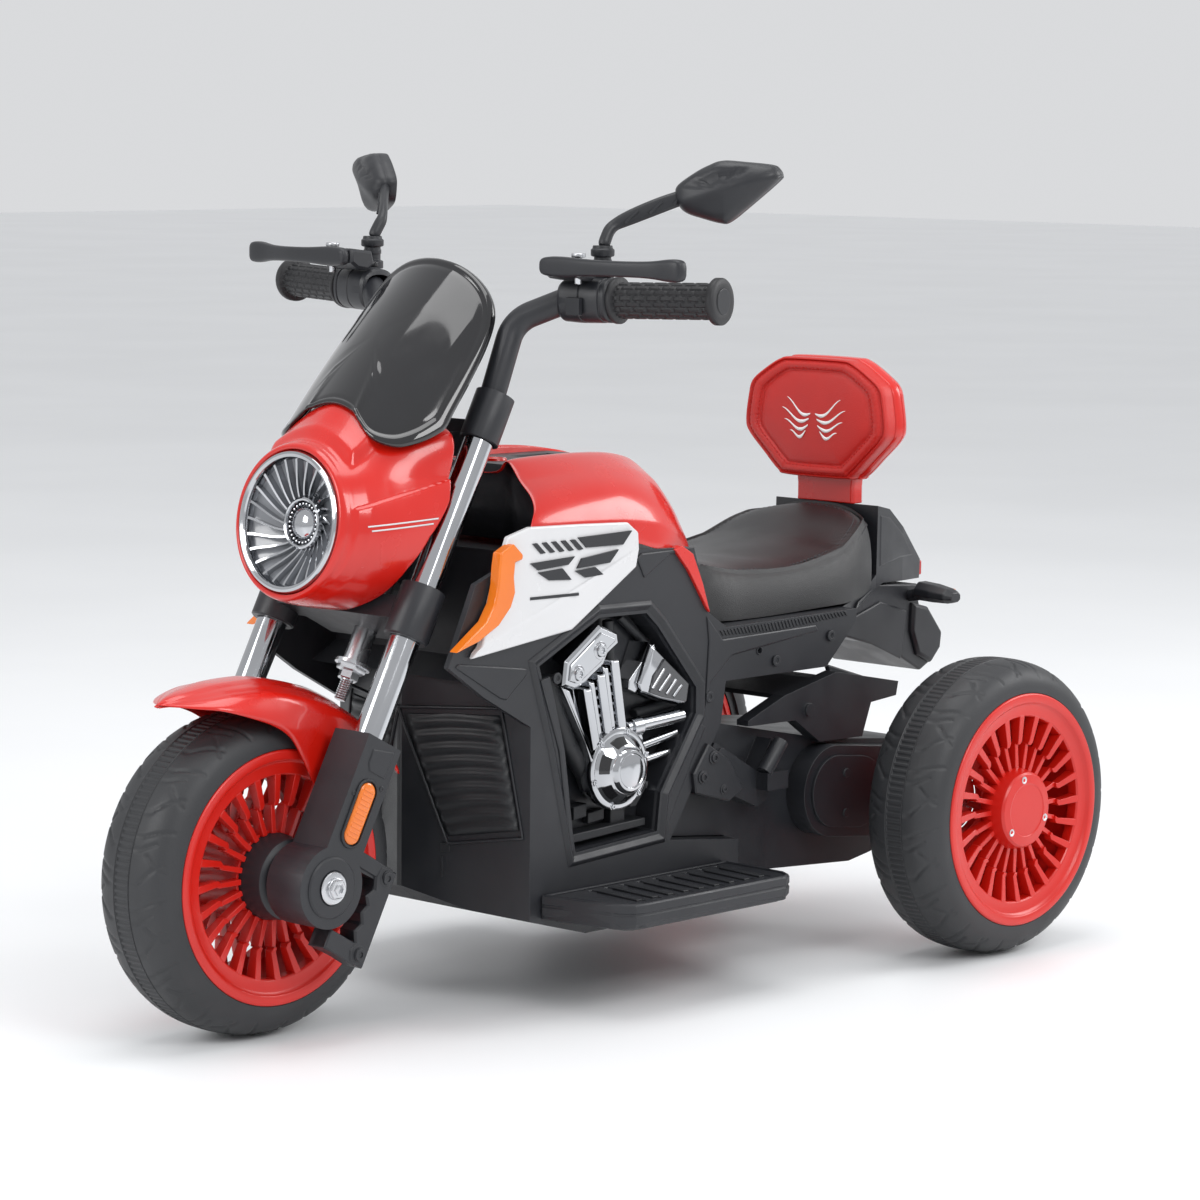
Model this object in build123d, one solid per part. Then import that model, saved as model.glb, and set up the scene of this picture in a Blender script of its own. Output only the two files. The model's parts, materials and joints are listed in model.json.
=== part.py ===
from build123d import *
import math
import os

# A child's ride-on electric three-wheel motorcycle.  Millimetres, +X forward, +Y to the
# rider's left, +Z up.  The origin is on the ground, midway between front and rear axle.

# ---- driving dimensions --------------------------------------------------------------
WHEEL_R = 135.0            # outer radius of all three tyres
AXLE_X = 353.6             # front axle ahead of the origin, rear axle behind it
RIM_R = 106.5              # visible radius of the red rim
BEAD_R = 99.7              # barrel of the rim inside the tyre
TYRE_BORE_R = 100.0
FRONT_HALF = 42.0          # half width of the front tyre
REAR_HALF = 42.0           # half width of a rear tyre
REAR_Y = 219.0             # middle of a rear wheel, left of the centre plane
SPOKES = 24

RAKE = 27.8                # fork leans back by this many degrees
FORK_Y = 82.0              # fork tube, left of the centre plane
FORK_TUBE_R = 13.0
STEER_BACK = 30.0          # steering axis behind the fork tubes
STEM_R = 10.0
RUNNING_FIT = 0.1          # radial clearance of a shaft in its bore

BODY_HALF = 118.0          # side plane of the black body
WALL = 4.0                 # thickness of the moulded shells
FRAME_HALF = 100.0         # side plane of the rear axle carrier
RECESS_FLOOR = 92.0        # floor of the engine recess, left of the centre plane
PANEL = 5.0                # thickness of the white side panels

HANDLE_R = 11.0
GRIP_R = 15.0
BAR_END = Vector(64.5, 263.0, 607.5)
AXLE_R = 6.0

FORK = Pos(AXLE_X, 0, WHEEL_R) * Rot(0, -RAKE, 0)   # x ahead of the tubes, z up the tubes
STEM = FORK * Pos(-STEER_BACK, 0, 0)                # z along the steering axis

# side outlines of the body, (x, z)
BODY_SIDE = [(180, 100), (158, 84), (71, 60), (-110, 60), (-125, 84), (-125, 118), (-35, 128),
             (-100, 225), (-106, 262), (-243, 262), (-284, 300), (-284, 312), (-106, 310),
             (-82, 325), (-74, 350), (-62, 384), (150, 394), (150, 300), (180, 284)]
SHOULDER_SIDE = [(140, 246), (196, 277), (237, 305), (206, 372), (150, 393), (130, 393), (130, 246)]
RECESS_SIDE = [(57, 332), (130, 297), (107, 224), (84, 132), (-18, 138), (-22, 172), (-67, 237),
               (-67, 260), (-17, 318), (-2, 331)]
PANEL_SIDE = [(174, 410), (148, 416), (28, 412), (13, 403), (16, 373), (95, 325), (215, 311)]
FRAME_SIDE = [(-125.5, 84), (-300, 73), (-330, 78), (-396, 95), (-396, 178), (-262, 192),
              (-140, 216), (-101.5, 224), (-37, 128.8), (-125.5, 118.8)]
TAIL_SIDE = [(-284.5, 300), (-284.5, 311.5), (-330, 316), (-350, 321), (-376.5, 331), (-378, 396),
             (-403, 391), (-432, 372), (-478, 336), (-476, 318), (-391, 322), (-310, 301)]
MUDGUARD_SIDE = [(-302, 297), (-321, 280), (-400, 262), (-456, 232), (-472, 240), (-452, 300),
                 (-452, 316), (-391, 320.5), (-312, 300)]


# ---- small helpers -------------------------------------------------------------------
def outline_xz(points, y=0.0):
    """A flat face standing in the XZ plane."""
    return make_face(Polyline(*[(x, y, z) for x, z in points], close=True))


def plate(points, y_from, y_to):
    """A side outline given a thickness from y_from to y_to."""
    return extrude(outline_xz(points, y_from), amount=y_to - y_from, dir=(0, 1, 0))


def inset_outline(points, distance):
    """Move every edge of a closed outline inwards and meet the moved edges again."""
    count = len(points)
    area = sum(points[i - 1][0] * points[i][1] - points[i][0] * points[i - 1][1]
               for i in range(count))
    turn = 1 if area > 0 else -1
    moved = []
    for i in range(count):
        before, here, after = points[i - 1], points[i], points[(i + 1) % count]
        in_x, in_z = here[0] - before[0], here[1] - before[1]
        out_x, out_z = after[0] - here[0], after[1] - here[1]
        in_len, out_len = math.hypot(in_x, in_z), math.hypot(out_x, out_z)
        n1 = (-in_z / in_len * turn, in_x / in_len * turn)
        n2 = (-out_z / out_len * turn, out_x / out_len * turn)
        scale = distance / (1 + n1[0] * n2[0] + n1[1] * n2[1])
        moved.append((here[0] + (n1[0] + n2[0]) * scale, here[1] + (n1[1] + n2[1]) * scale))
    return moved


def inset_plate(points, inset, y_from, y_to):
    """A plate whose outline is moved inwards (or outwards when the inset is negative)."""
    return plate(inset_outline(points, inset), y_from, y_to)


def plan_prism(points, z_from, z_to):
    """A plan outline (x, y) extruded upwards."""
    face = make_face(Polyline(*[(x, y, z_from) for x, y in points], close=True))
    return extrude(face, amount=z_to - z_from, dir=(0, 0, 1))


def block(x, y, z):
    """A box given by its lowest and highest value along each axis."""
    size = [high - low for low, high in (x, y, z)]
    middle = [(high + low) / 2 for low, high in (x, y, z)]
    return Pos(*middle) * Box(*size)


def rod(start, end, radius):
    """A straight round bar between two points."""
    start, end = Vector(start), Vector(end)
    along = end - start
    return Plane(origin=start, z_dir=along) * Cylinder(
        radius, along.length, align=(Align.CENTER, Align.CENTER, Align.MIN))


def sleeve(start, end, radius, bore):
    return rod(start, end, radius) - rod(start, end, bore)


def bent_bar(points, radius, bends):
    """A round bar along straight runs joined by arcs."""
    path = FilletPolyline(*points, radius=bends)
    section = Plane(origin=path @ 0, z_dir=path % 0) * Circle(radius)
    return sweep(section, path=path)


def turned(profile, centre):
    """A (radius, y) profile turned about the Y axis at a wheel centre."""
    face = make_face(Polyline(*[(r, y, 0) for r, y in profile], close=True))
    return Pos(*centre) * revolve(face, axis=Axis.Y)


def frustums(sections):
    """A solid through closed outlines, joined by flat and ruled faces."""
    wires = [Polyline(*points, close=True) for points in sections]
    return loft([make_face(wire) for wire in wires], ruled=True)


def mirrored(shape):
    return mirror(shape, about=Plane.XZ)


def both_sides(shape):
    """A left-hand piece and its mirror image, as separate solids of one node."""
    return Compound([*shape.solids(), *mirrored(shape).solids()])


def left_half(shape):
    return shape & block((-600, 600), (0, 400), (0, 900))


def save(name, shape):
    solids = shape.solids()
    result = solids[0] if len(solids) == 1 else Compound(solids)
    export_step(result, f"parts/{name}.step")


# ---- wheels --------------------------------------------------------------------------
def tyre(centre, half):
    """A blow-moulded hard tyre with rounded shoulders and two grooves round the tread."""
    seat_r = RIM_R + 0.3
    profile = [(TYRE_BORE_R, 3 - half), (seat_r, 3 - half), (seat_r, -half), (118, -half),
               (127, 4 - half),
               (133, 12 - half), (WHEEL_R, 20 - half), (WHEEL_R, -10), (WHEEL_R - 3, -8),
               (WHEEL_R - 3, 8), (WHEEL_R, 10), (WHEEL_R, half - 20), (133, half - 12),
               (127, half - 4), (118, half), (seat_r, half), (seat_r, half - 3),
               (TYRE_BORE_R, half - 3)]
    return turned(profile, centre)


def spoke_wheel(centre, half, faces, bore):
    """A rim: barrel, one or two spoked faces with a raised edge, and a hub with its bore."""
    barrel = turned([(92, -half), (BEAD_R, 6 - half), (BEAD_R, half - 6), (92, half)], centre)
    solid = barrel + turned([(bore, -half), (36, -half), (36, half), (bore, half)], centre)
    for side in faces:
        edge = turned([(90, side * (half - 8)), (BEAD_R, side * (half - 8)),
                       (BEAD_R, side * (half - 2.8)), (RIM_R, side * (half - 2.8)),
                       (RIM_R, side * (half + 0.7)), (104, side * (half + 1.7)),
                       (98, side * (half + 1.7)), (94, side * (half - 3))], centre)
        boss = turned([(bore, side * (half - 2)), (30, side * (half - 2)), (28, side * (half + 1.5)),
                       (bore, side * (half + 1.5))], centre)
        solid += edge + boss
        for index in range(SPOKES):
            outer_step = block((66, 95), (half - 14, half - 1), (-4, 4))
            inner_step = block((33, 68), (half - 20, half - 7), (-3, 3))
            spoke = outer_step + inner_step
            if side < 0:
                spoke = mirrored(spoke)
            solid += Pos(*centre) * Rot(0, index * 360 / SPOKES, 0) * spoke
    return solid


def make_wheels():
    front = (AXLE_X, 0, WHEEL_R)
    save("front_tyre", tyre(front, FRONT_HALF))
    rim = spoke_wheel(front, FRONT_HALF, (1, -1), AXLE_R + RUNNING_FIT)
    for side in (1, -1):
        rim += turned([(AXLE_R + RUNNING_FIT, side * 40), (34, side * 40), (34, side * 58),
                       (AXLE_R + RUNNING_FIT, side * 58)], front)
    save("front_rim", rim)
    rear = (-AXLE_X, REAR_Y, WHEEL_R)
    rear_tyre = tyre(rear, REAR_HALF)
    rear_rim = spoke_wheel(rear, REAR_HALF, (1,), AXLE_R + RUNNING_FIT)
    inner_disc = turned([(30, -38), (93, -38), (93, -34), (30, -34)], rear)
    drum = turned([(AXLE_R + RUNNING_FIT, -91), (30, -91), (30, -40), (AXLE_R + RUNNING_FIT, -40)],
                  rear)
    rear_rim += inner_disc + drum
    cap = turned([(0, 43.5), (33, 43.5), (30, 46.5), (0, 46.5)], rear)
    for index in range(4):
        angle = math.radians(45 + 90 * index)
        centre = Vector(-AXLE_X + 20 * math.cos(angle), REAR_Y + 46, WHEEL_R + 20 * math.sin(angle))
        cap -= rod(centre, centre + Vector(0, 2, 0), 3)
    rear_rim += cap
    save("rear_tyre_left", rear_tyre)
    save("rear_rim_left", rear_rim)
    save("rear_tyre_right", mirrored(rear_tyre))
    save("rear_rim_right", mirrored(rear_rim))


# ---- steered front end ---------------------------------------------------------------
def make_fork():
    save("steering_stem", STEM * Pos(0, 0, 305) * Cylinder(STEM_R, 210)
         + STEM * Pos(0, 0, 196) * Cylinder(STEM_R + 5, 10))

    tube = rod((0, FORK_Y, 108), (0, FORK_Y, 398), FORK_TUBE_R)
    save("fork_tubes", FORK * both_sides(tube))

    leg = block((-20, 20), (62, 103), (0, 128)) + rod((0, 62, 0), (0, 103, 0), 34)
    leg += rod((0, 62, 0), (0, 104.5, 0), 14)
    leg = leg - rod((0, FORK_Y, 107.7), (0, FORK_Y, 140), FORK_TUBE_R + 0.2)
    leg -= rod((0, 50, 0), (0, 120, 0), AXLE_R + 0.2)
    leg -= block((-9, 9), (101.5, 110), (38, 92))
    caliper = block((-66, -19), (80, 98), (-46, -30)) + block((-66, -48), (80, 98), (-46, 36))
    caliper += block((-66, -19), (80, 98), (24, 36))
    for height in (-38, 30):
        caliper += rod((-57, 98, height), (-57, 102, height), 6)
    save("fork_leg_left", FORK * (leg + caliper))
    save("fork_leg_right", mirrored(FORK * (leg + caliper)))

    reflector = block((-8.8, 8.8), (101.5, 104.5), (47, 83))
    for height in (47, 83):
        reflector += rod((0, 101.5, height), (0, 104.5, height), 8.8)
    save("fork_reflectors", FORK * both_sides(reflector))

    nut = rod((0, 104.7, 0), (0, 110, 0), 9) - rod((0, 104, 0), (0, 112, 0), AXLE_R + 0.2)
    axle = rod((0, -112, 0), (0, 112, 0), AXLE_R)
    save("front_axle", FORK * Compound([*axle.solids(), *both_sides(nut).solids()]))


def make_clamps():
    lower = block((-48, 14), (-60, 60), (230, 250))
    upper = plan_prism([(12, 60), (-6, 60), (-46, 22), (-46, -22), (-6, -60), (12, -60)], 400, 412)
    for side in (1, -1):
        lower += rod((0, side * FORK_Y, 218), (0, side * FORK_Y, 263), 19)
        lower += block((-14, 14), (side * 70 - 12, side * 70 + 12), (230, 250))
        upper += rod((0, side * FORK_Y, 398.2), (0, side * FORK_Y, 440), 17)
        upper += block((-12, 12), (side * 70 - 12, side * 70 + 12), (400, 412))
    for side in (1, -1):
        lower -= rod((0, side * FORK_Y, 210), (0, side * FORK_Y, 270), FORK_TUBE_R + 0.2)
    bore = rod((-STEER_BACK, 0, 200), (-STEER_BACK, 0, 430), STEM_R + 0.2)
    save("lower_clamp", FORK * (lower - bore))
    save("upper_clamp", (FORK * (upper - bore)) - handlebar_sockets())


def handlebar_path():
    foot = (FORK * Pos(0, FORK_Y, 408)).position
    return [tuple(foot), (127, FORK_Y, 586), (96, 124, 607), tuple(BAR_END)]


def handlebar_sockets():
    """Room in the upper clamp for the two handlebar tubes."""
    points = handlebar_path()
    start = Vector(points[0])
    end = start + (Vector(points[1]) - start) * 0.6
    socket = rod(start, end, HANDLE_R + 0.2)
    return socket + mirrored(socket)


def make_handlebars():
    bar = bent_bar(handlebar_path(), HANDLE_R, (30, 30))
    save("handlebars", both_sides(bar))

    grip_start = Vector(*handlebar_path()[2])
    along = (BAR_END - grip_start).normalized()
    inner = BAR_END - along * 98
    grip = rod(inner, BAR_END + along * 4, GRIP_R)
    for distance in (0, 97):
        grip += rod(inner + along * distance, inner + along * (distance + 5), 19.5)
    grip -= rod(inner - along, BAR_END + along * 0.2, HANDLE_R + 0.2)
    save("grips", both_sides(grip))

    near = inner - along * 43
    housing = rod(near, inner - along * 0.4, 20)
    housing += block((76, 112), (122, 160), (588, 628))
    perch = block((100, 130), (130, 160), (618, 627)) + rod((120, 150, 618), (120, 150, 630), 9)
    housing += perch
    housing += rod((81, 141, 620), (81, 141, 640), 10)
    housing -= bent_bar(handlebar_path(), HANDLE_R + 0.3, (30, 30))
    housing -= rod((120, 150, 600), (120, 150, 650), 3.1)
    housing -= rod((81, 141, 600), (81, 141, 650), 4.1)
    right = mirrored(housing)
    housing -= block((109, 140), (131, 147), (592, 608))
    save("switch_housings", Compound([*housing.solids(), *right.solids()]))
    save("horn_button", block((111, 116), (131.4, 146.6), (592.4, 607.6)))


def make_levers():
    """A brake lever turning about an upright pin on its perch, and its pin."""
    arm = plan_prism([(128, 142), (134, 152), (128, 200), (121, 240), (119, 266), (110, 266),
                      (111, 238), (116, 200), (118, 164), (110, 158), (110, 144)], 631, 641)
    arm = fillet(arm.edges().filter_by(Axis.Z), 2)
    arm += rod((114.5, 264, 629), (114.5, 264, 643), 7)
    arm -= rod((120, 150, 620), (120, 150, 650), 3.0 + RUNNING_FIT)
    pin = rod((120, 150, 619), (120, 150, 642), 3.0) + rod((120, 150, 641.3), (120, 150, 645), 6)
    save("brake_lever_left", arm)
    save("brake_lever_right", mirrored(arm))
    save("lever_pins", both_sides(pin))


def mirror_head():
    """The five-sided mirror shell, standing across its own facing direction."""
    rim = [(-44, 0), (-36, -20), (-7, -28), (4, -25), (43, 10), (43, 15), (36, 22), (-6, 24),
           (-28, 14)]
    facing = Plane(origin=(6, 215, 697), x_dir=(-0.5, 0.866, 0), z_dir=(0.866, 0.5, 0))
    face = make_face(Polyline(*[(u, v, 0) for u, v in rim], close=True))
    crown = make_face(Polyline(*[(u * 0.72, v * 0.62, 9) for u, v in rim], close=True))
    back = extrude(face, amount=-8, dir=(0, 0, 1)) + loft([face, crown], ruled=True)
    pocket = make_face(Polyline(*[(u * 0.93, v * 0.9, -8) for u, v in rim], close=True))
    glass = extrude(make_face(Polyline(*[(u * 0.92, v * 0.89, -7.8) for u, v in rim],
                                       close=True)), amount=2.5, dir=(0, 0, 1))
    back -= extrude(pocket, amount=3, dir=(0, 0, 1))
    return facing.location * back, facing.location * glass


def make_mirrors():
    head, glass = mirror_head()
    stem = rod((81, 141, 621), (81, 141, 640.3), 4.0) + rod((81, 141, 640.3), (81, 141, 648), 9)
    stem += rod((81, 141, 646), (70, 141, 668), 7)
    stem += Pos(70, 141, 668) * Sphere(8)
    stem += rod((70, 141, 668), (27, 182, 696), 6.5)
    whole = stem + head
    save("mirror_left", whole)
    save("mirror_right", mirrored(whole))
    save("mirror_glass_left", glass)
    save("mirror_glass_right", mirrored(glass))


def make_fender():
    """An arched mudguard close round the front tyre, with a side skirt to each fork leg."""
    def arch(outer, inner, half):
        edge = [(outer - 14, -half), (outer - 3, 14 - half), (outer, 0), (outer - 3, half - 14),
                (outer - 14, half), (inner - 14, half), (inner - 3, half - 14), (inner, 0),
                (inner - 3, 14 - half), (inner - 14, -half)]
        face = make_face(Polyline(*[(r, y, 0) for r, y in edge], close=True))
        ring = revolve(face, axis=Axis.Y, revolution_arc=88)
        return Pos(AXLE_X, 0, WHEEL_R) * Rot(0, -145, 0) * ring
    shell = arch(162, 158, 52)
    tip = plate([(449, 284), (443, 279), (395, 291), (396, 297)], -18, 18)
    skirt = plate([(345, 284), (262, 262), (290, 215), (312, 204), (338, 236)], 48, 52)
    stay = FORK * rod((0, 51, 100), (0, 61.9, 100), 8)
    shell += skirt + mirrored(skirt) + stay + mirrored(stay)
    save("front_fender", shell + tip)


def screen_shell(outer, inner):
    """Part of a round shell leaning back, cut to the outline of the wind screen."""
    screen = Pos(203, 0, 580) * Rot(0, 45.5, 0)
    half = [(82, 0), (103, 45), (101, 67), (66, 87), (-20, 82), (-60, 70), (-76, 52), (-82, 0)]
    around = half + [(x, -y) for x, y in reversed(half) if y > 0]
    outline = make_face(Polyline(*[(x, y, -90) for x, y in around], close=True))
    shell = Pos(0, 0, -110) * Rot(0, 90, 0) * (Cylinder(outer, 260) - Cylinder(inner, 260))
    return screen * (shell & extrude(outline, amount=120))


def make_headlight():
    """The red pod round the lamp, its chrome turbine ring, its lens and the screen above."""
    tilt = 7.9
    lamp = Pos(307.7, 0, 422.3) * Rot(0, 90 - tilt, 0)

    def pod_solid(inset):
        rings = []
        stations = [(305, 64, 64, 422), (285, 78, 76, 426), (255, 84, 83.5, 430),
                    (228, 85, 72, 433), (212, 85, 54, 436)]
        for x, wide, high, z in stations:
            centre = Plane(origin=(x, 0, z), x_dir=(0, 1, 0), z_dir=(1, 0, 0))
            rings.append(centre * Ellipse(wide - inset, high - inset))
        return loft(rings)
    cavity = pod_solid(WALL)
    pod = pod_solid(0) - cavity
    pod -= block((200, 216), (-90, 90), (300, 560))
    pod -= lamp * Cylinder(61, 60)
    pod -= lamp * Pos(0, 0, 12) * Cylinder(75, 24, align=(Align.CENTER, Align.CENTER, Align.MIN))
    for side in (1, -1):
        pod -= FORK * rod((0, side * FORK_Y, 200), (0, side * FORK_Y, 420), 20)
    pod -= FORK * block((-60, 24), (-106, 106), (212, 268))
    pod -= screen_shell(130, 105.4)
    save("headlight_pod", pod)

    ring = lamp * (Cylinder(60, 22) - Cylinder(52, 30))
    hub = lamp * (Cylinder(13, 8) + Pos(0, 0, 3) * Sphere(13) & Pos(0, 0, 6) * Cylinder(14, 22))
    fins = ring + hub
    for index in range(SPOKES):
        fins += lamp * Rot(0, 0, index * 360 / SPOKES) * Pos(32, 0, -1) * Rot(18, 0, 0) * Box(
            42, 2.4, 9)
    save("headlight_bezel", fins)
    save("headlight_lens", lamp * Pos(0, 0, -13) * Cylinder(59.5, 3.6))

    save("windshield", screen_shell(110, 106))


# ---- body ----------------------------------------------------------------------------
def nose_cut(inset):
    """What the shallow V of the nose takes off in front."""
    return plan_prism([(181 - inset, 0), (140 - inset, BODY_HALF), (120, 200), (300, 200),
                       (300, -200), (120, -200), (140 - inset, -BODY_HALF)], 40, 284)


def body_solid(inset):
    half = BODY_HALF - inset
    return inset_plate(BODY_SIDE, inset, -half, half) - nose_cut(inset)


def make_body():
    outer = body_solid(0)
    shell = outer - body_solid(WALL)
    recess = inset_plate(RECESS_SIDE, -WALL, RECESS_FLOOR - WALL, BODY_HALF) & outer
    left = left_half(shell) + recess - plate(RECESS_SIDE, RECESS_FLOOR, BODY_HALF + 5)
    left += plate(SHOULDER_SIDE, 112, BODY_HALF)
    left -= rod((-150, 90, 285), (-150, 130, 285), 4)
    save("body_shell_left", left)
    save("body_shell_right", mirrored(left))


def make_tank():
    """The red tank shell, its black top panel, and the white panels with their lamps."""
    def tank_solid(inset):
        stations = [(142, 394.5, 117.5, 415, 106, 437, 66, 460),
                    (28, 394.5, 117.5, 414, 104, 446, 60, 468),
                    (-63, 394.5, 115, 403, 96, 438, 45, 459),
                    (-95, 380.5, 106, 393, 84, 412, 36, 434),
                    (-112, 380.5, 90, 389, 70, 402, 30, 414)]
        sections = []
        for x, low, y1, z1, y2, z2, y3, z3 in stations:
            half = [(y1 - inset, low - inset), (y1 - inset, z1 - inset), (y2 - inset, z2 - inset),
                    (y3 - inset, z3 - inset)]
            ring = [(x, y, z) for y, z in half] + [(x, -y, z) for y, z in reversed(half)]
            sections.append(ring)
        return frustums(sections)
    front_cut = plate([(112, 480), (112, 466), (143, 414), (150, 380), (180, 380), (180, 480)],
                      -130, 130)
    inner_front = plate([(106, 480), (106, 460), (137, 410), (137, 380), (180, 380), (180, 480)],
                        -130, 130)
    rear_stop = block((-104, 300), (-130, 130), (300, 500))
    inside = (tank_solid(WALL) & rear_stop) - inner_front
    tank = tank_solid(0) - front_cut - inside
    opening = plan_prism([(104, 50), (-40, 44), (-40, -44), (104, -50)], 440, 490)
    tank -= opening
    blade = plate([(-52, 400), (-96, 400), (-88, 352), (-80, 324), (-74, 352), (-66, 380)],
                  118.2, 121.5)
    blade += plate([(-52, 400), (-94, 400), (-93, 394.6), (-53, 394.6)], 104, 118.3)
    tank += blade + mirrored(blade)
    save("tank_cover", tank)

    panel = plan_prism([(103.5, 49.5), (-39.5, 43.5), (-39.5, -43.5), (103.5, -49.5)], 454, 460)
    button_at = Pos(66, 0, 457)
    panel -= button_at * Cylinder(11.5, 20)
    panel -= block((-20, 26), (-22, 22), (458, 470))
    save("tank_top_panel", panel)
    button = Pos(66, 0, 458) * Cylinder(11, 8)
    save("power_button", fillet(button.edges().sort_by(Axis.Z)[-1], 1.5))

    panel = plate(PANEL_SIDE, BODY_HALF, BODY_HALF + PANEL)
    lamp_side = [(172, 404), (162, 392), (173, 362), (191, 339), (239, 319), (206, 342),
                 (192, 366), (188, 396)]
    panel -= plate([(162, 392), (172, 404), (200, 420), (250, 330), (239, 319), (191, 339),
                    (173, 362)], BODY_HALF - 1, BODY_HALF + PANEL + 1)
    save("side_panels", both_sides(panel))
    save("side_lights", both_sides(plate(lamp_side, BODY_HALF + 0.2, BODY_HALF + PANEL + 5)))


def make_engine():
    """Bright-plated engine dress-up parts standing in the side recess."""
    floor = RECESS_FLOOR
    crank = rod((42, floor, 201), (42, 130, 201), 35) + rod((42, 130, 201), (42, 135, 201), 28)
    crank += rod((42, 135, 201), (42, 139, 201), 17)
    for index in range(5):
        angle = math.radians(20 + 72 * index)
        x, z = 42 + 31 * math.cos(angle), 201 + 31 * math.sin(angle)
        crank += rod((x, 130, z), (x, 133, z), 3)
    cylinder = plate([(59, 325), (36, 318), (31, 262), (26, 232), (66, 208), (84, 240), (105, 284)],
                     floor, 116)
    for index in range(5):
        x, z = 36 + index * 7, 236 + index * 1.5
        cylinder += plate([(x, z), (x + 4, z), (x + 11, z + 46), (x + 7, z + 46)], 116, 120)
    for x, z in ((60, 305), (88, 284)):
        cylinder += rod((x, 116, z), (x, 122, z), 8)
    pipes = rod((20, 112, 226), (-48, 112, 240), 8)
    pipes += rod((20, 110, 206), (-40, 110, 214), 5) + rod((20, 110, 190), (-34, 110, 196), 5)
    pipes += block((-30, 10), (floor, 104), (188, 234))
    cover = crank + cylinder + pipes
    save("engine_cover_left", cover)
    save("engine_cover_right", mirrored(cover))

    box = plate([(-4, 305), (-53, 266), (-48, 247), (2, 251), (22, 264), (23, 279)], floor, 120)
    for index in range(4):
        x = -38 + index * 10
        box -= plate([(x, 262), (x + 5, 262), (x + 8, 282), (x + 3, 282)], 116, 125)
    save("air_boxes", both_sides(box))


def make_footrests():
    outline = [(126, 118.2), (112, 190), (92, 206), (-90, 206), (-105, 190), (-105, 118.2)]
    slab = plan_prism(outline, 80, 100)
    corners = slab.edges().filter_by(Axis.Z).filter_by(lambda edge: edge.center().Y > 180)
    slab = fillet(corners, 12)
    for index in range(9):
        x = -84 + index * 20
        slab -= block((x, x + 5), (130, 194), (99, 105))
    slab -= block((-80, 80), (124, 180), (70, 88))
    save("footrest_left", slab)
    right = mirrored(slab)
    hinge = (14, -165, 106)
    right -= block((2, 26), (-191, -139), (94, 120))
    ears = block((4, 24), (-190, -182), (92, 112)) + block((4, 24), (-148, -140), (92, 112))
    pin = rod((hinge[0], -188, hinge[2]), (hinge[0], -142, hinge[2]), 3)
    right += ears + pin
    save("footrest_right", right)
    pedal = plate([(20, 101.5), (86, 112), (88, 120), (84, 122), (18, 111)], -194, -136)
    pedal -= block((0, 27), (-200, -181), (90, 130))
    pedal -= block((0, 27), (-149, -130), (90, 130))
    boss = rod((hinge[0], -181, hinge[2]), (hinge[0], -149, hinge[2]), 6)
    pedal += boss
    pedal -= rod((hinge[0], -200, hinge[2]), (hinge[0], -130, hinge[2]), 3 + RUNNING_FIT)
    save("throttle_pedal", pedal)


def make_seat():
    """A long saddle with a dip in the middle, and the padded backrest with its shell."""
    stations = [(-84, 66, 330, 60, 362, 374), (-108, 97, 313, 74, 354, 368),
                (-160, 100, 313, 85, 350, 360), (-230, 100, 313.5, 86, 350, 360),
                (-297, 100, 314, 85, 360, 370), (-338, 86, 318, 70, 382, 390),
                (-372, 62, 331, 56, 390, 398)]
    sections = []
    for x, low_y, low_z, seam_y, seam_z, top in stations:
        half = [(low_y - 4, low_z), (low_y, low_z + 8), (seam_y, seam_z), (seam_y * 0.6, top)]
        sections.append([(x, y, z) for y, z in half] + [(x, -y, z) for y, z in reversed(half)])
    save("seat_cushion", frustums(sections))

    rim = [(38, 420), (86, 465), (80, 509), (42, 531)]
    around = rim + [(-y, z) for y, z in reversed(rim)]
    front = make_face(Polyline(*[(-374, y, z) for y, z in around], close=True))
    crown = [(y * 0.9, 477 + (z - 477) * 0.86) for y, z in around]
    face = make_face(Polyline(*[(-359, y, z) for y, z in crown], close=True))
    save("backrest_pad", loft([front, face], ruled=True))
    shell = extrude(front, amount=15, dir=(-1, 0, 0))
    neck = block((-389, -379), (-33, 33), (350, 432))
    save("backrest_shell", shell + neck)


def make_tail():
    plan = [(-284, 100), (-376, 64), (-432, 50), (-478, 34)]
    around = plan + [(x, -y) for x, y in reversed(plan)]

    def cowl(inset):
        narrow = [(x, y - inset if y > 0 else y + inset) for x, y in around]
        return inset_plate(TAIL_SIDE, inset, -110, 110) & plan_prism(narrow, 290, 410)
    neck_slot = block((-389.3, -378.7), (-33.3, 33.3), (349, 420))
    shell = cowl(0) - cowl(WALL)
    socket = block((-394, -374), (-38, 38), (342, 388)) & cowl(0)
    save("tail_cowl", shell + socket - neck_slot)
    save("tail_light", block((-486, -478.2), (-30, 30), (320, 334)))
    guard = plate(MUDGUARD_SIDE, -55, 55) - plate(
        [(-330, 290), (-396, 270), (-446, 243), (-440, 300), (-391, 310)], -48, 48)
    save("tail_mudguard", guard)
    stalk = rod((-440, 55, 308), (-440, 67, 308), 7)
    near = make_face(Polyline((-428, 66, 306), (-454, 66, 306), (-456, 66, 328), (-426, 66, 328),
                              close=True))
    far = make_face(Polyline((-432, 112, 300), (-448, 112, 300), (-449, 112, 314),
                             (-431, 112, 314), close=True))
    signal = stalk + loft([near, far], ruled=True)
    save("rear_turn_signals", both_sides(signal))


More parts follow.
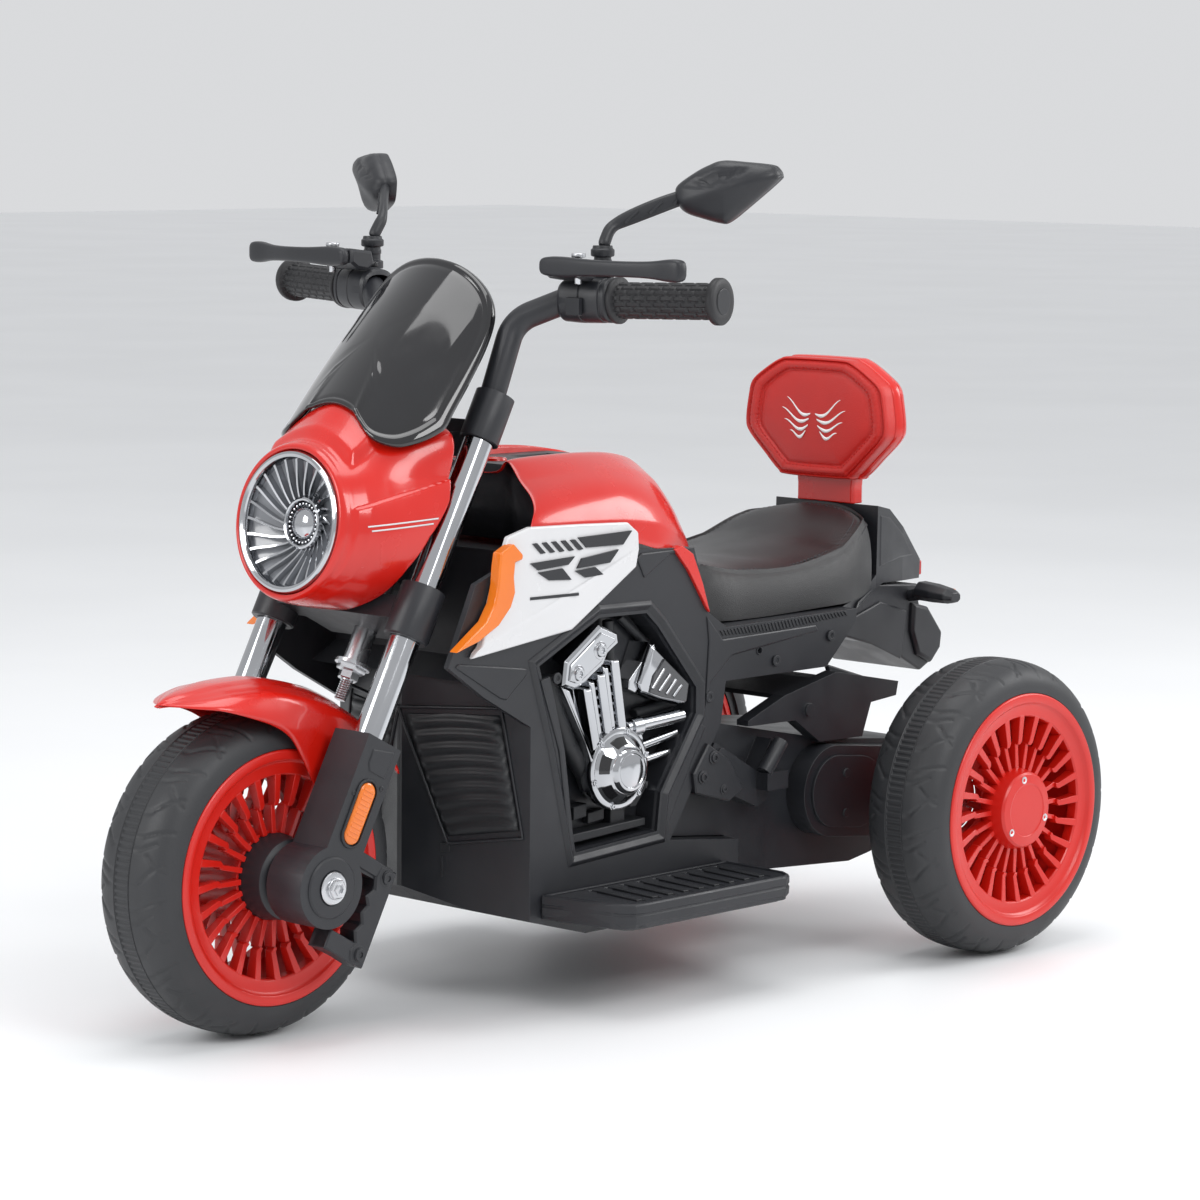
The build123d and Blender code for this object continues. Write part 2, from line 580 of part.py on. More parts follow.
def make_rear_frame():
    """The carrier of the rear axle with its side arms, gearboxes, motors and axle."""
    axle_at = (-AXLE_X, 0, WHEEL_R)
    frame = plate(FRAME_SIDE, -FRAME_HALF, FRAME_HALF)
    frame -= inset_plate(FRAME_SIDE, WALL, WALL - FRAME_HALF, FRAME_HALF - WALL)
    peg = plate([(-92, 208), (-78, 190), (-84, 172), (-150, 144), (-164, 150), (-176, 194),
                 (-168, 204), (-150, 176), (-100, 204)], FRAME_HALF, 118)
    peg += plate([(-98, 194), (-88, 178), (-140, 156), (-146, 170)], FRAME_HALF, 108)
    peg += rod((-150, 126, 176), (-172, 126, 202), 7)
    peg += block((-176, -148), (116, 132), (160, 176))
    for x, z in ((-99, 198), (-88, 184)):
        peg += rod((x, 118, z), (x, 121, z), 5)
    frame += peg + mirrored(peg)
    through = rod((axle_at[0], -200, axle_at[2]), (axle_at[0], 200, axle_at[2]), AXLE_R + 0.3)
    save("rear_frame", frame - through)

    def stadium(radius, x_end, z_end, y_from, y_to):
        front, back = Vector(-252, 0, 147), Vector(x_end, 0, z_end)
        side = Vector(0, 1, 0).cross(back - front).normalized() * radius
        corners = [front + side, back + side, back - side, front - side]
        solid = plate([(p.X, p.Z) for p in corners], y_from, y_to)
        for centre in (front, back):
            solid += rod((centre.X, y_from, centre.Z), (centre.X, y_to, centre.Z), radius)
        return solid
    housing = stadium(42, axle_at[0], axle_at[2], FRAME_HALF, 122) - through
    cover = stadium(33, -285, 143, 122, 125)
    for z in (125.7, 162.6):
        cover += rod((-265, 125, z), (-265, 126.5, z), 4)
    save("gearboxes", Compound([*both_sides(housing).solids(), *both_sides(cover).solids()]))
    motor = rod((-252, 40, 147), (-252, 95.8, 147), 18) + rod((-252, 32, 147), (-252, 40, 147), 6)
    save("drive_motors", both_sides(motor))
    save("rear_axle", rod((axle_at[0], -258, axle_at[2]), (axle_at[0], 258, axle_at[2]), AXLE_R))

    wing = plate([(-141, 222), (-141, 217), (-205, 216), (-240, 192.5), (-300, 191.5), (-312, 222),
                  (-348, 225), (-351, 238), (-262, 255), (-190, 240)], FRAME_HALF, 114)
    bridge = block((-262, -190), (-114, 114), (236, 250)) & plate(
        [(-262, 254), (-190, 240), (-190, 232), (-262, 232)], -114, 114)
    arms = wing + mirrored(wing) + bridge
    for side in (1, -1):
        arms += rod((-223, side * 100, 224), (-223, side * 117, 224), 6)
    save("rear_arms", arms)


def make_inside():
    save("battery", block((-26, 125), (-32.5, 32.5), (83, 177)))
    board = block((-95, -25), (-35, 35), (266.2, 268))
    board += block((-85, -60), (-20, 10), (268, 282)) + block((-50, -35), (-10, 15), (268, 276))
    save("control_board", board)

    ring = sleeve((0, 0, 275), (0, 0, 345), 19, STEM_R + RUNNING_FIT)
    arm = plate([(150, 346), (150, 388), (170, 392), (196, 367), (190, 362)], -15, 15)
    arm -= STEM * rod((0, 0, 260), (0, 0, 360), 18)
    save("steering_bush", (STEM * ring) + arm)

    socket = rod((-150, 106, 285), (-150, 119, 285), 3.8) - rod(
        (-150, 107, 285), (-150, 120, 285), 2.75)
    save("charge_socket", socket)

    screws = [(-83, 250), (-172, 274), (-247, 290), (110, 285)]
    heads = None
    for x, z in screws:
        head = rod((x, BODY_HALF, z), (x, BODY_HALF + 2.5, z), 5) - rod(
            (x, BODY_HALF + 1.2, z), (x, BODY_HALF + 3, z), 2.2)
        heads = head if heads is None else heads + head
    save("body_screws", both_sides(heads))


def main():
    os.makedirs("parts", exist_ok=True)
    make_wheels()
    make_fork()
    make_clamps()
    make_handlebars()
    make_levers()
    make_mirrors()
    make_fender()
    make_headlight()
    make_body()
    make_tank()
    make_engine()
    make_footrests()
    make_seat()
    make_tail()
    make_rear_frame()
    make_inside()


main()
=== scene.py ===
import bpy
import bmesh
import json
import math
import random
from mathutils import Matrix, Vector


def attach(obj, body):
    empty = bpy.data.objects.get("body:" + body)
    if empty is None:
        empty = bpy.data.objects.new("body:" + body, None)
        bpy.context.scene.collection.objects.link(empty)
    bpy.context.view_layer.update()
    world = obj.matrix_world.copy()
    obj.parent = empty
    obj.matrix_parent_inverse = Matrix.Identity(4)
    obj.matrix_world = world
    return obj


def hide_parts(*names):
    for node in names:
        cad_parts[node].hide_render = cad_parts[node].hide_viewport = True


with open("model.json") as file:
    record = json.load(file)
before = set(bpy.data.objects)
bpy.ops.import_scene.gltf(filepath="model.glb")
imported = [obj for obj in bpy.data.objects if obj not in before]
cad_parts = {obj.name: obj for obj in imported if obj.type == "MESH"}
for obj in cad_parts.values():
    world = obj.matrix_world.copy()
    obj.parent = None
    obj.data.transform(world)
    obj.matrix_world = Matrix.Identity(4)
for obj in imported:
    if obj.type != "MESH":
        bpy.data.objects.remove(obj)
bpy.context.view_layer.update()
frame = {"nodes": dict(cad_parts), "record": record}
MM = 0.001


# ---- materials -----------------------------------------------------------------------
def new_material(name):
    material = bpy.data.materials.new(name)
    material.use_nodes = True
    nodes = material.node_tree.nodes
    shader = nodes["Principled BSDF"]
    return material, nodes, material.node_tree.links, shader


def add_noise(nodes, links, scale, detail=3.0, stretch=(1, 1, 1)):
    """Noise in the object's own metres, so that the grain keeps its size."""
    place = nodes.new("ShaderNodeTexCoord")
    mapping = nodes.new("ShaderNodeMapping")
    mapping.inputs["Scale"].default_value = stretch
    noise = nodes.new("ShaderNodeTexNoise")
    noise.inputs["Scale"].default_value = scale
    noise.inputs["Detail"].default_value = detail
    links.new(place.outputs["Object"], mapping.inputs["Vector"])
    links.new(mapping.outputs["Vector"], noise.inputs["Vector"])
    return noise


def ramp(nodes, links, source, low, high, start=0.35, stop=0.65):
    """Map a grey value to the range low..high, or between two colours."""
    node = nodes.new("ShaderNodeValToRGB")
    node.color_ramp.elements[0].position = start
    node.color_ramp.elements[1].position = stop
    for element, value in zip(node.color_ramp.elements, (low, high)):
        element.color = (*value, 1) if isinstance(value, tuple) else (value, value, value, 1)
    links.new(source, node.inputs["Fac"])
    return node


def bump(nodes, links, height, strength, distance, shader, previous=None):
    node = nodes.new("ShaderNodeBump")
    node.inputs["Strength"].default_value = strength
    node.inputs["Distance"].default_value = distance
    links.new(height, node.inputs["Height"])
    if previous:
        links.new(previous.outputs["Normal"], node.inputs["Normal"])
    links.new(node.outputs["Normal"], shader.inputs["Normal"])
    return node


def plastic(name, colour, dark, rough, grain, depth, coat=0.0):
    """Moulded plastic: slight colour drift, a fine moulded grain and uneven gloss."""
    material, nodes, links, shader = new_material(name)
    cloud = add_noise(nodes, links, 9.0)
    tint = ramp(nodes, links, cloud.outputs["Fac"], dark, colour, 0.3, 0.7)
    links.new(tint.outputs["Color"], shader.inputs["Base Color"])
    smear = add_noise(nodes, links, 35.0, 5.0)
    gloss = ramp(nodes, links, smear.outputs["Fac"], max(rough - 0.05, 0.02), rough + 0.05)
    links.new(gloss.outputs["Color"], shader.inputs["Roughness"])
    if depth:
        texture = add_noise(nodes, links, grain, 2.0)
        bump(nodes, links, texture.outputs["Fac"], 0.35, depth, shader)
    shader.inputs["Coat Weight"].default_value = coat
    shader.inputs["Coat Roughness"].default_value = 0.04
    return material


def chrome(name, colour=(0.50, 0.51, 0.53), rough=0.05):
    material, nodes, links, shader = new_material(name)
    shader.inputs["Metallic"].default_value = 1.0
    cloud = add_noise(nodes, links, 14.0)
    low = tuple(0.9 * c for c in colour)
    tint = ramp(nodes, links, cloud.outputs["Fac"], low, colour)
    links.new(tint.outputs["Color"], shader.inputs["Base Color"])
    gloss = ramp(nodes, links, cloud.outputs["Fac"], rough, rough + 0.06)
    links.new(gloss.outputs["Color"], shader.inputs["Roughness"])
    return material


def leather(name, colour, dark, rough, cell):
    """Leatherette: rounded cells with fine creases between them."""
    material, nodes, links, shader = new_material(name)
    cloud = add_noise(nodes, links, 12.0)
    tint = ramp(nodes, links, cloud.outputs["Fac"], dark, colour)
    links.new(tint.outputs["Color"], shader.inputs["Base Color"])
    gloss = ramp(nodes, links, cloud.outputs["Fac"], rough - 0.05, rough + 0.07)
    links.new(gloss.outputs["Color"], shader.inputs["Roughness"])
    place = nodes.new("ShaderNodeTexCoord")
    cells = nodes.new("ShaderNodeTexVoronoi")
    cells.inputs["Scale"].default_value = cell
    links.new(place.outputs["Object"], cells.inputs["Vector"])
    first = bump(nodes, links, cells.outputs["Distance"], 0.35, 0.0006, shader)
    fine = add_noise(nodes, links, cell * 3, 4.0)
    bump(nodes, links, fine.outputs["Fac"], 0.15, 0.0003, shader, first)
    return material


RED = plastic("red_gloss", (0.60, 0.011, 0.005), (0.54, 0.009, 0.004), 0.24, 900, 0.0, 0.4)
RIM_RED = plastic("rim_red", (0.60, 0.012, 0.006), (0.53, 0.009, 0.004), 0.34, 900, 0.0, 0.12)
BLACK = plastic("black_satin", (0.017, 0.018, 0.022), (0.012, 0.013, 0.016), 0.42, 1500, 0.0003)
BLACK_SOFT = plastic("black_soft", (0.013, 0.014, 0.017), (0.009, 0.010, 0.012), 0.5, 1300, 0.0004)
GLOSS_BLACK = plastic("black_gloss", (0.008, 0.008, 0.010), (0.006, 0.006, 0.007),
                      0.08, 900, 0.0, 0.6)
WHITE = plastic("white_gloss", (0.66, 0.66, 0.67), (0.62, 0.62, 0.63), 0.25, 900, 0.0, 0.4)
TYRE = plastic("tyre_grey", (0.026, 0.027, 0.030), (0.019, 0.020, 0.022), 0.5, 1200, 0.0004)
AMBER = plastic("amber_lens", (0.80, 0.20, 0.012), (0.70, 0.15, 0.010), 0.2, 900, 0.0, 0.4)
RED_LENS = plastic("red_lens", (0.5, 0.01, 0.01), (0.35, 0.006, 0.006), 0.15, 900, 0.0, 0.6)
SMOKED = plastic("smoked_lens", (0.03, 0.032, 0.036), (0.02, 0.02, 0.024), 0.14, 900, 0.0, 0.6)
RUBBER = plastic("grip_rubber", (0.018, 0.018, 0.020), (0.012, 0.012, 0.014), 0.55, 1600, 0.0004)
CHROME = chrome("bright_chrome")
STEEL = chrome("zinc_steel", (0.62, 0.63, 0.65), 0.25)
MIRROR = chrome("mirror_foil", (0.85, 0.87, 0.88), 0.02)
LENS = plastic("grey_lens", (0.30, 0.31, 0.33), (0.22, 0.23, 0.25), 0.2, 900, 0.0, 0.6)
BOARD = plastic("board_green", (0.02, 0.2, 0.07), (0.015, 0.14, 0.05), 0.4, 900, 0.0)
BATTERY = plastic("battery_grey", (0.12, 0.125, 0.13), (0.09, 0.095, 0.1), 0.5, 1200, 0.0003)
SEAT = leather("seat_black", (0.012, 0.012, 0.013), (0.008, 0.008, 0.009), 0.38, 1500)
PAD_RED = leather("pad_red", (0.55, 0.012, 0.007), (0.48, 0.010, 0.006), 0.36, 1500)
THREAD = plastic("black_thread", (0.05, 0.05, 0.055), (0.035, 0.035, 0.04), 0.7, 1500, 0.0002)
THREAD_RED = plastic("red_thread", (0.55, 0.02, 0.015), (0.42, 0.012, 0.01), 0.7, 1500, 0.0002)
PRINT = plastic("white_print", (0.88, 0.86, 0.86), (0.80, 0.78, 0.78), 0.4, 900, 0.0)

SLOT_MATERIALS = {
    "red_plastic": RED, "black_plastic": BLACK, "gloss_black": GLOSS_BLACK,
    "white_plastic": WHITE, "amber_lens": AMBER, "smoked_lens": SMOKED, "red_lens": RED_LENS,
    "clear_lens": LENS, "chrome_plating": CHROME, "steel": STEEL, "tyre_plastic": TYRE,
    "grip_rubber": RUBBER, "seat_leather": SEAT, "backrest_leather": PAD_RED,
    "mirror_glass": MIRROR, "battery_case": BATTERY, "circuit_board": BOARD,
}
NODE_SLOT = {row["node"]: row["material_slot"] for row in frame["record"]["subparts"]}


EDGE_WIDTHS = {"body_shell_left": 0.0016, "body_shell_right": 0.0016, "tail_cowl": 0.004,
               "tail_mudguard": 0.0025, "rear_frame": 0.003, "rear_arms": 0.0025,
               "footrest_left": 0.002, "footrest_right": 0.002, "lower_clamp": 0.0025,
               "upper_clamp": 0.0025, "fork_legs": 0.0015, "tail_light": 0.0015}


def soften(node, width):
    """Round a carried-over part's edges without touching its mesh."""
    weld = node.modifiers.new("weld", "WELD")
    weld.merge_threshold = 0.00002
    flat = node.modifiers.new("flat", "DECIMATE")
    flat.decimate_type = "DISSOLVE"
    flat.angle_limit = math.radians(2)
    edge = node.modifiers.new("edge", "BEVEL")
    edge.width = width
    edge.segments = 3
    edge.limit_method = "ANGLE"
    edge.angle_limit = math.radians(35)
    edge.harden_normals = True


for name, node in frame["nodes"].items():
    node.data.materials.clear()
    node.data.materials.append(SLOT_MATERIALS[NODE_SLOT[name]])
    soften(node, EDGE_WIDTHS.get(name, 0.0008))


# ---- mesh helpers (coordinates in millimetres) ---------------------------------------
SIDES = ((1, "left"), (-1, "right"))
BOX_FACES = [(0, 1, 2, 3), (4, 5, 6, 7), (0, 1, 5, 4), (1, 2, 6, 5), (2, 3, 7, 6), (3, 0, 4, 7)]
MATERIAL_SLOT = {material.name: slot for slot, material in SLOT_MATERIALS.items()}
MATERIAL_SLOT.update({RIM_RED.name: "red_plastic", BLACK_SOFT.name: "black_plastic",
                      THREAD.name: "seat_leather", THREAD_RED.name: "backrest_leather",
                      PRINT.name: "white_plastic"})


def new_piece(name, points, faces, material, body, nodes=(), angle=35):
    """A mesh piece on a CAD body, shaded smooth except across edges sharper than angle."""
    mesh = bpy.data.meshes.new(name)
    mesh.from_pydata([(x * MM, y * MM, z * MM) for x, y, z in points], [], faces)
    clean = bmesh.new()
    clean.from_mesh(mesh)
    bmesh.ops.remove_doubles(clean, verts=clean.verts, dist=0.000005)
    bmesh.ops.recalc_face_normals(clean, faces=clean.faces)
    clean.to_mesh(mesh)
    clean.free()
    mesh.shade_smooth()
    mesh.set_sharp_from_angle(angle=math.radians(angle))
    piece = bpy.data.objects.new(name, mesh)
    bpy.context.scene.collection.objects.link(piece)
    mesh.materials.append(material)
    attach(piece, body)
    if nodes:
        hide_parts(*nodes)
    return piece


def round_edges(piece, width, segments=2, angle=30):
    edge = piece.modifiers.new("edge", "BEVEL")
    edge.width = width * MM
    edge.segments = segments
    edge.limit_method = "ANGLE"
    edge.angle_limit = math.radians(angle)
    edge.harden_normals = True
    return piece


def subdivided(piece, levels=2):
    smooth = piece.modifiers.new("smooth", "SUBSURF")
    smooth.levels = levels
    smooth.render_levels = levels
    return piece


def mirror_points(points):
    return [(x, -y, z) for x, y, z in points]


def grid_faces(rows, columns, close_rows=False, close_columns=False):
    """Quads of a grid whose points are listed row by row."""
    faces = []
    for i in range(rows if close_rows else rows - 1):
        for j in range(columns if close_columns else columns - 1):
            k, m = (i + 1) % rows, (j + 1) % columns
            faces.append((i * columns + j, i * columns + m, k * columns + m, k * columns + j))
    return faces


def ring_faces(rows, columns, first=True, last=False):
    """Faces of closed rings, with the small first or last ring filled in."""
    faces = grid_faces(rows, columns, False, True)
    if first:
        faces.append(tuple(range(columns)))
    if last:
        faces.append(tuple(range(rows * columns - 1, (rows - 1) * columns - 1, -1)))
    return faces


def bar_faces(rows, columns):
    """Faces of a bar made of closed rings, with both ends filled in."""
    return ring_faces(rows, columns, True, True)


def turned(profile, centre, segments=96):
    """Points and faces of a closed (radius, y) profile turned about the Y axis."""
    points = []
    for i in range(segments):
        angle = 2 * math.pi * i / segments
        for r, y in profile:
            points.append((centre[0] + r * math.cos(angle), centre[1] + y,
                           centre[2] + r * math.sin(angle)))
    return points, grid_faces(segments, len(profile), True, True)


def prism(outline, y_from, y_to):
    """Points and faces of an (x, z) outline given a thickness along Y."""
    count = len(outline)
    points = [(x, y_from, z) for x, z in outline] + [(x, y_to, z) for x, z in outline]
    sides = [(i, (i + 1) % count, count + (i + 1) % count, count + i) for i in range(count)]
    return points, sides + [tuple(range(count)), tuple(range(2 * count - 1, count - 1, -1))]


def joined(*parts):
    """Several (points, faces) pairs as one."""
    points, faces = [], []
    for more_points, more_faces in parts:
        offset = len(points)
        points += more_points
        faces += [tuple(offset + i for i in face) for face in more_faces]
    return points, faces


def turn_y(points, centre, angle):
    """Turn points about the Y axis through a centre, in radians."""
    c, s = math.cos(angle), math.sin(angle)
    turned_points = []
    for x, y, z in points:
        dx, dz = x - centre[0], z - centre[2]
        turned_points.append((centre[0] + c * dx - s * dz, y, centre[2] + s * dx + c * dz))
    return turned_points


# ---- wheels --------------------------------------------------------------------------
WHEEL_R = 135.0
BEAD_R = 106.8
HALF = 42.0
FRONT_AXLE = (353.6, 0.0, 135.0)
REAR_AXLE = (-353.6, 219.0, 135.0)
TREAD_STEPS = 600
TREAD_PITCHES = 14


def tread_depth(along, y):
    """Depth of the moulded tread, in mm, at a distance round the tyre and across it."""
    across = abs(y)
    if across <= 8:
        return 0.9 if int(along) % 4 >= 2 else 0.0
    if 8.6 <= across <= 9.4:
        return 0.7
    pitch = 2 * math.pi * WHEEL_R / TREAD_PITCHES
    u = (along * 2 * math.pi * WHEEL_R / TREAD_STEPS + (pitch / 2 if y < 0 else 0)) % pitch
    depth = 0.0
    for u0, y0, u1, y1 in ((4, 13, 27, 36), (20, 37, 33, 24), (34, 12, 44, 30), (47, 16, 57, 38)):
        t = ((u - u0) * (u1 - u0) + (across - y0) * (y1 - y0)) / ((u1 - u0) ** 2 + (y1 - y0) ** 2)
        t = min(1, max(0, t))
        away = math.hypot(u - u0 - t * (u1 - u0), across - y0 - t * (y1 - y0))
        depth = max(depth, 1.1 * min(1.0, max(0.0, 2.0 * (1 - away / 2.0))))
    return depth


def crown_radius(y):
    share = min(1.0, abs(y) / HALF)
    return BEAD_R + (WHEEL_R - BEAD_R) * (1 - share ** 2.6) ** (1 / 2.6)


def make_tyre(name, centre, body, node):
    outer = [HALF * math.sin(a) ** 0.8 for a in
             [math.radians(18 + 72 * i / 26) for i in range(27)]]
    half = [0, 4, 7.7, 8.2, 8.6, 9.4, 10.0] + [y for y in outer if y > 11]
    across = [-y for y in reversed(half[1:])] + half
    points = []
    for i in range(TREAD_STEPS):
        angle = 2 * math.pi * i / TREAD_STEPS
        ring = [(crown_radius(y) - tread_depth(i, y), y) for y in across]
        ring = [(100, 3 - HALF), (BEAD_R, 3 - HALF)] + ring + [(BEAD_R, HALF - 3), (100, HALF - 3)]
        for r, y in ring:
            points.append((centre[0] + r * math.cos(angle), centre[1] + y,
                           centre[2] + r * math.sin(angle)))
    columns = len(points) // TREAD_STEPS
    faces = grid_faces(TREAD_STEPS, columns, True, True)
    new_piece(name, points, faces, TYRE, body, [node], 28)


def spokes(centre, face_y, count=24):
    """Slats of the turbine wheel: each has an outer step and a lower inner step."""
    parts = []
    outer = [(86, -3.4), (86, 3.4), (62, 4.6), (59, 2.2), (59, -2.0), (63, -0.6)]
    inner = [(60, -2.6), (60, 1.6), (36, 2.4), (36, -2.4)]
    for i in range(count):
        angle = 2 * math.pi * i / count
        for outline, top, deep in ((outer, (-3.2, -6.5), -15), (inner, (-9.0, -8.0), -19)):
            lift = [top[0] if r > 72 else top[1] for r, _ in outline]
            if outline is inner:
                lift = [top[0] if r > 50 else top[1] for r, _ in outline]
            upper = [(centre[0] + r, centre[1] + face_y + h, centre[2] + t)
                     for (r, t), h in zip(outline, lift)]
            lower = [(centre[0] + r, centre[1] + face_y + deep, centre[2] + t) for r, t in outline]
            n = len(outline)
            faces = [(k, (k + 1) % n, n + (k + 1) % n, n + k) for k in range(n)]
            faces += [tuple(range(n)), tuple(range(2 * n - 1, n - 1, -1))]
            parts.append((turn_y(upper + lower, centre, angle), faces))
    return joined(*parts)


def flip_y(part, centre):
    points, faces = part
    return [(x, 2 * centre[1] - y, z) for x, y, z in points], faces


def rim_face(centre):
    """The lip of the rim with its bead, step and sloping ring, open for the slats."""
    profile = [(99.4, HALF - 14), (99.4, HALF - 2.7), (106.3, HALF - 2.7), (106.3, HALF + 0.5),
               (105.0, HALF + 1.5), (100.5, HALF + 1.7), (98.0, HALF + 0.8), (96.0, HALF - 1.6),
               (94.5, HALF - 2.2), (88.5, HALF - 2.9), (86.0, HALF - 3.2), (84.6, HALF - 4.6),
               (84.6, HALF - 14), (92, HALF - 16), (92, HALF - 18)]
    return turned(profile, centre, 144)


def make_front_rim():
    centre = FRONT_AXLE
    lip, slats = rim_face(centre), spokes(centre, HALF)
    barrel = turned([(92, -38), (99.4, -36), (99.4, 36), (92, 38)], centre)
    hub_wall = turned([(34, -30), (38, -30), (38, 30), (34, 30)], centre, 64)
    rim = joined(lip, flip_y(lip, centre), barrel, hub_wall)
    round_edges(new_piece("front_rim_lip", *rim, RIM_RED, "front_wheel", ["front_rim"], 40), 0.5)
    both = joined(slats, flip_y(slats, centre))
    round_edges(new_piece("front_rim_slats", *both, RIM_RED, "front_wheel"), 0.7)
    drum = turned([(6.2, -57.8), (24, -57.8), (26, -56), (29, -56), (33.5, -53), (34.5, -42),
                   (36, -34), (36, 34), (34.5, 42), (33.5, 53), (29, 56), (26, 56), (24, 57.8),
                   (6.2, 57.8)], centre, 72)
    round_edges(new_piece("front_hub_drum", *drum, BLACK, "front_wheel"), 0.6)


def make_rear_wheel(side):
    sign = 1 if side == "left" else -1
    body = f"rear_wheel_{side}"
    centre = (REAR_AXLE[0], REAR_AXLE[1], REAR_AXLE[2])

    def placed(part):
        points, faces = part
        return (points, faces) if sign > 0 else (mirror_points(points), faces)
    tyre_centre = (centre[0], sign * centre[1], centre[2])
    make_tyre(f"rear_tread_{side}", tyre_centre, body, f"rear_tyre_{side}")
    barrel = turned([(92, -40), (99.4, -38), (99.4, 36), (92, 38)], centre)
    disc = turned([(30, -38), (93, -38), (93, -34), (60, -30), (30, -30)], centre)
    drum = turned([(6.2, -91), (26, -91), (29, -88), (29.5, -38), (6.2, -38)], centre, 64)
    rim = joined(rim_face(centre), barrel, disc, drum)
    round_edges(new_piece(f"rear_rim_lip_{side}", *placed(rim), RIM_RED, body,
                          [f"rear_rim_{side}"], 40), 0.5)
    round_edges(new_piece(f"rear_rim_slats_{side}", *placed(spokes(centre, HALF)), RIM_RED, body),
                0.7)
    cap = turned([(0, HALF - 20), (38, HALF - 20), (37, HALF - 8), (34.5, HALF + 1.8),
                  (32.5, HALF + 3.6), (24.5, HALF + 4.3), (23.6, HALF + 3.7), (0, HALF + 3.7)],
                 centre, 72)
    round_edges(new_piece(f"rear_cap_{side}", *placed(cap), RIM_RED, body), 0.5)
    screws = []
    for i in range(3):
        angle = math.radians(80 + 120 * i)
        at = (centre[0] + 28.4 * math.cos(angle), centre[1] + HALF + 3, centre[2]
              + 28.4 * math.sin(angle))
        screws.append(turned([(0, 0), (3.4, 0), (3.4, 1.3), (2.2, 1.4), (1.2, 0.6), (0, 0.6)], at,
                             24))
    new_piece(f"rear_cap_screws_{side}", *placed(joined(*screws)), STEEL, body)


make_tyre("front_tread", FRONT_AXLE, "front_wheel", "front_tyre")
make_front_rim()
make_rear_wheel("left")
make_rear_wheel("right")


# ---- curves and tables ---------------------------------------------------------------
def catmull(a, b, c, d, t):
    return 0.5 * (2 * b + (c - a) * t + (2 * a - 5 * b + 4 * c - d) * t * t
                  + (3 * b - a - 3 * c + d) * t ** 3)


def closed_curve(points, steps):
    """A smooth closed curve through the points, with a number of steps between each two."""
    count, curve = len(points), []
    for i in range(count):
        four = [points[(i + k) % count] for k in (-1, 0, 1, 2)]
        for j in range(steps):
            curve.append(tuple(catmull(*values, j / steps) for values in zip(*four)))
    return curve


def look_up(keys, values, x):
    """Smooth interpolation in a table, held at its ends."""
    if x <= keys[0]:
        return values[0]
    if x >= keys[-1]:
        return values[-1]
    i = max(k for k in range(len(keys) - 1) if keys[k] <= x)
    t = (x - keys[i]) / (keys[i + 1] - keys[i])
    four = [values[min(max(k, 0), len(keys) - 1)] for k in range(i - 1, i + 3)]
    return catmull(*four, t)


def step(start, stop, x):
    """0 before start, 1 after stop, and a soft rise between."""
    t = min(1.0, max(0.0, (x - start) / (stop - start)))
    return t * t * (3 - 2 * t)


def shell(piece, thickness, offset=-1):
    """Give a sheet its wall thickness, inwards."""
    wall = piece.modifiers.new("wall", "SOLIDIFY")
    wall.thickness = thickness * MM
    wall.offset = offset
    wall.use_even_offset = False
    return piece


def crease(piece, pairs, weight):
    """Crease the edges between the listed pairs of points, for subdivision."""
    mesh = piece.data
    layer = mesh.attributes.new("crease_edge", "FLOAT", "EDGE") \
        if "crease_edge" not in mesh.attributes else mesh.attributes["crease_edge"]
    wanted = {tuple(sorted(pair)) for pair in pairs}
    for edge in mesh.edges:
        if tuple(sorted(edge.vertices)) in wanted:
            layer.data[edge.index].value = weight
    return piece


# ---- headlamp pod --------------------------------------------------------------------
LAMP = Vector((307.7, 0.0, 422.3))
LAMP_TILT = math.radians(7.9)
LAMP_OUT = Vector((math.cos(LAMP_TILT), 0, math.sin(LAMP_TILT)))
LAMP_UP = Vector((-math.sin(LAMP_TILT), 0, math.cos(LAMP_TILT)))
POD_ANGLES = [-90, -60, -30, 0, 30, 45, 60, 75, 90]
POD_DEPTHS = [3, 7, 20, 40, 65, 95]
POD_RADII = [
    [66, 66, 66.5, 67.5, 67, 66.5, 66.5, 66.5, 66.5],
    [66.8, 67, 68, 70, 69, 68, 67.5, 68, 68],
    [68.5, 70, 73, 76, 75, 74, 73.5, 74, 75.5],
    [69.5, 72, 78, 81, 82, 84.5, 88, 92, 95.5],
    [69.5, 74, 81, 84, 92, 103, 103, 103, 103],
    [69, 75, 83, 86, 98.5, 119, 110, 108, 107],
]
POD_REAR_ANGLES = [-90, -60, -45, -20, 0, 10, 20, 60, 90]
POD_REAR = [54, 56, 59, 66, 79, 88, 95, 95, 76]


def lamp_point(across, up, depth):
    point = LAMP + LAMP_UP * up - LAMP_OUT * depth
    return point.x, across, point.z


def lamp_turned(profile, segments=96):
    points = []
    for i in range(segments):
        angle = 2 * math.pi * i / segments
        points += [lamp_point(r * math.cos(angle), r * math.sin(angle), d) for r, d in profile]
    return points, grid_faces(segments, len(profile), True, True)


def pod_radius(angle, depth):
    radii = [look_up(POD_ANGLES, row, angle) for row in POD_RADII]
    radius = look_up(POD_DEPTHS, radii, depth)
    across = abs(radius * math.cos(math.radians(angle)))
    if angle > 0:
        radius += 7.5 * step(12, 19, depth) * (1 - step(42, 54, across))
    x, _, z = lamp_point(0, radius * math.sin(math.radians(angle)), depth)
    edge = 437 + (300 - x) * 0.223
    radius += 2.6 * step(7.5, 10, depth) * step(0, 2.0, edge - z) * step(368, 404, z)
    return radius


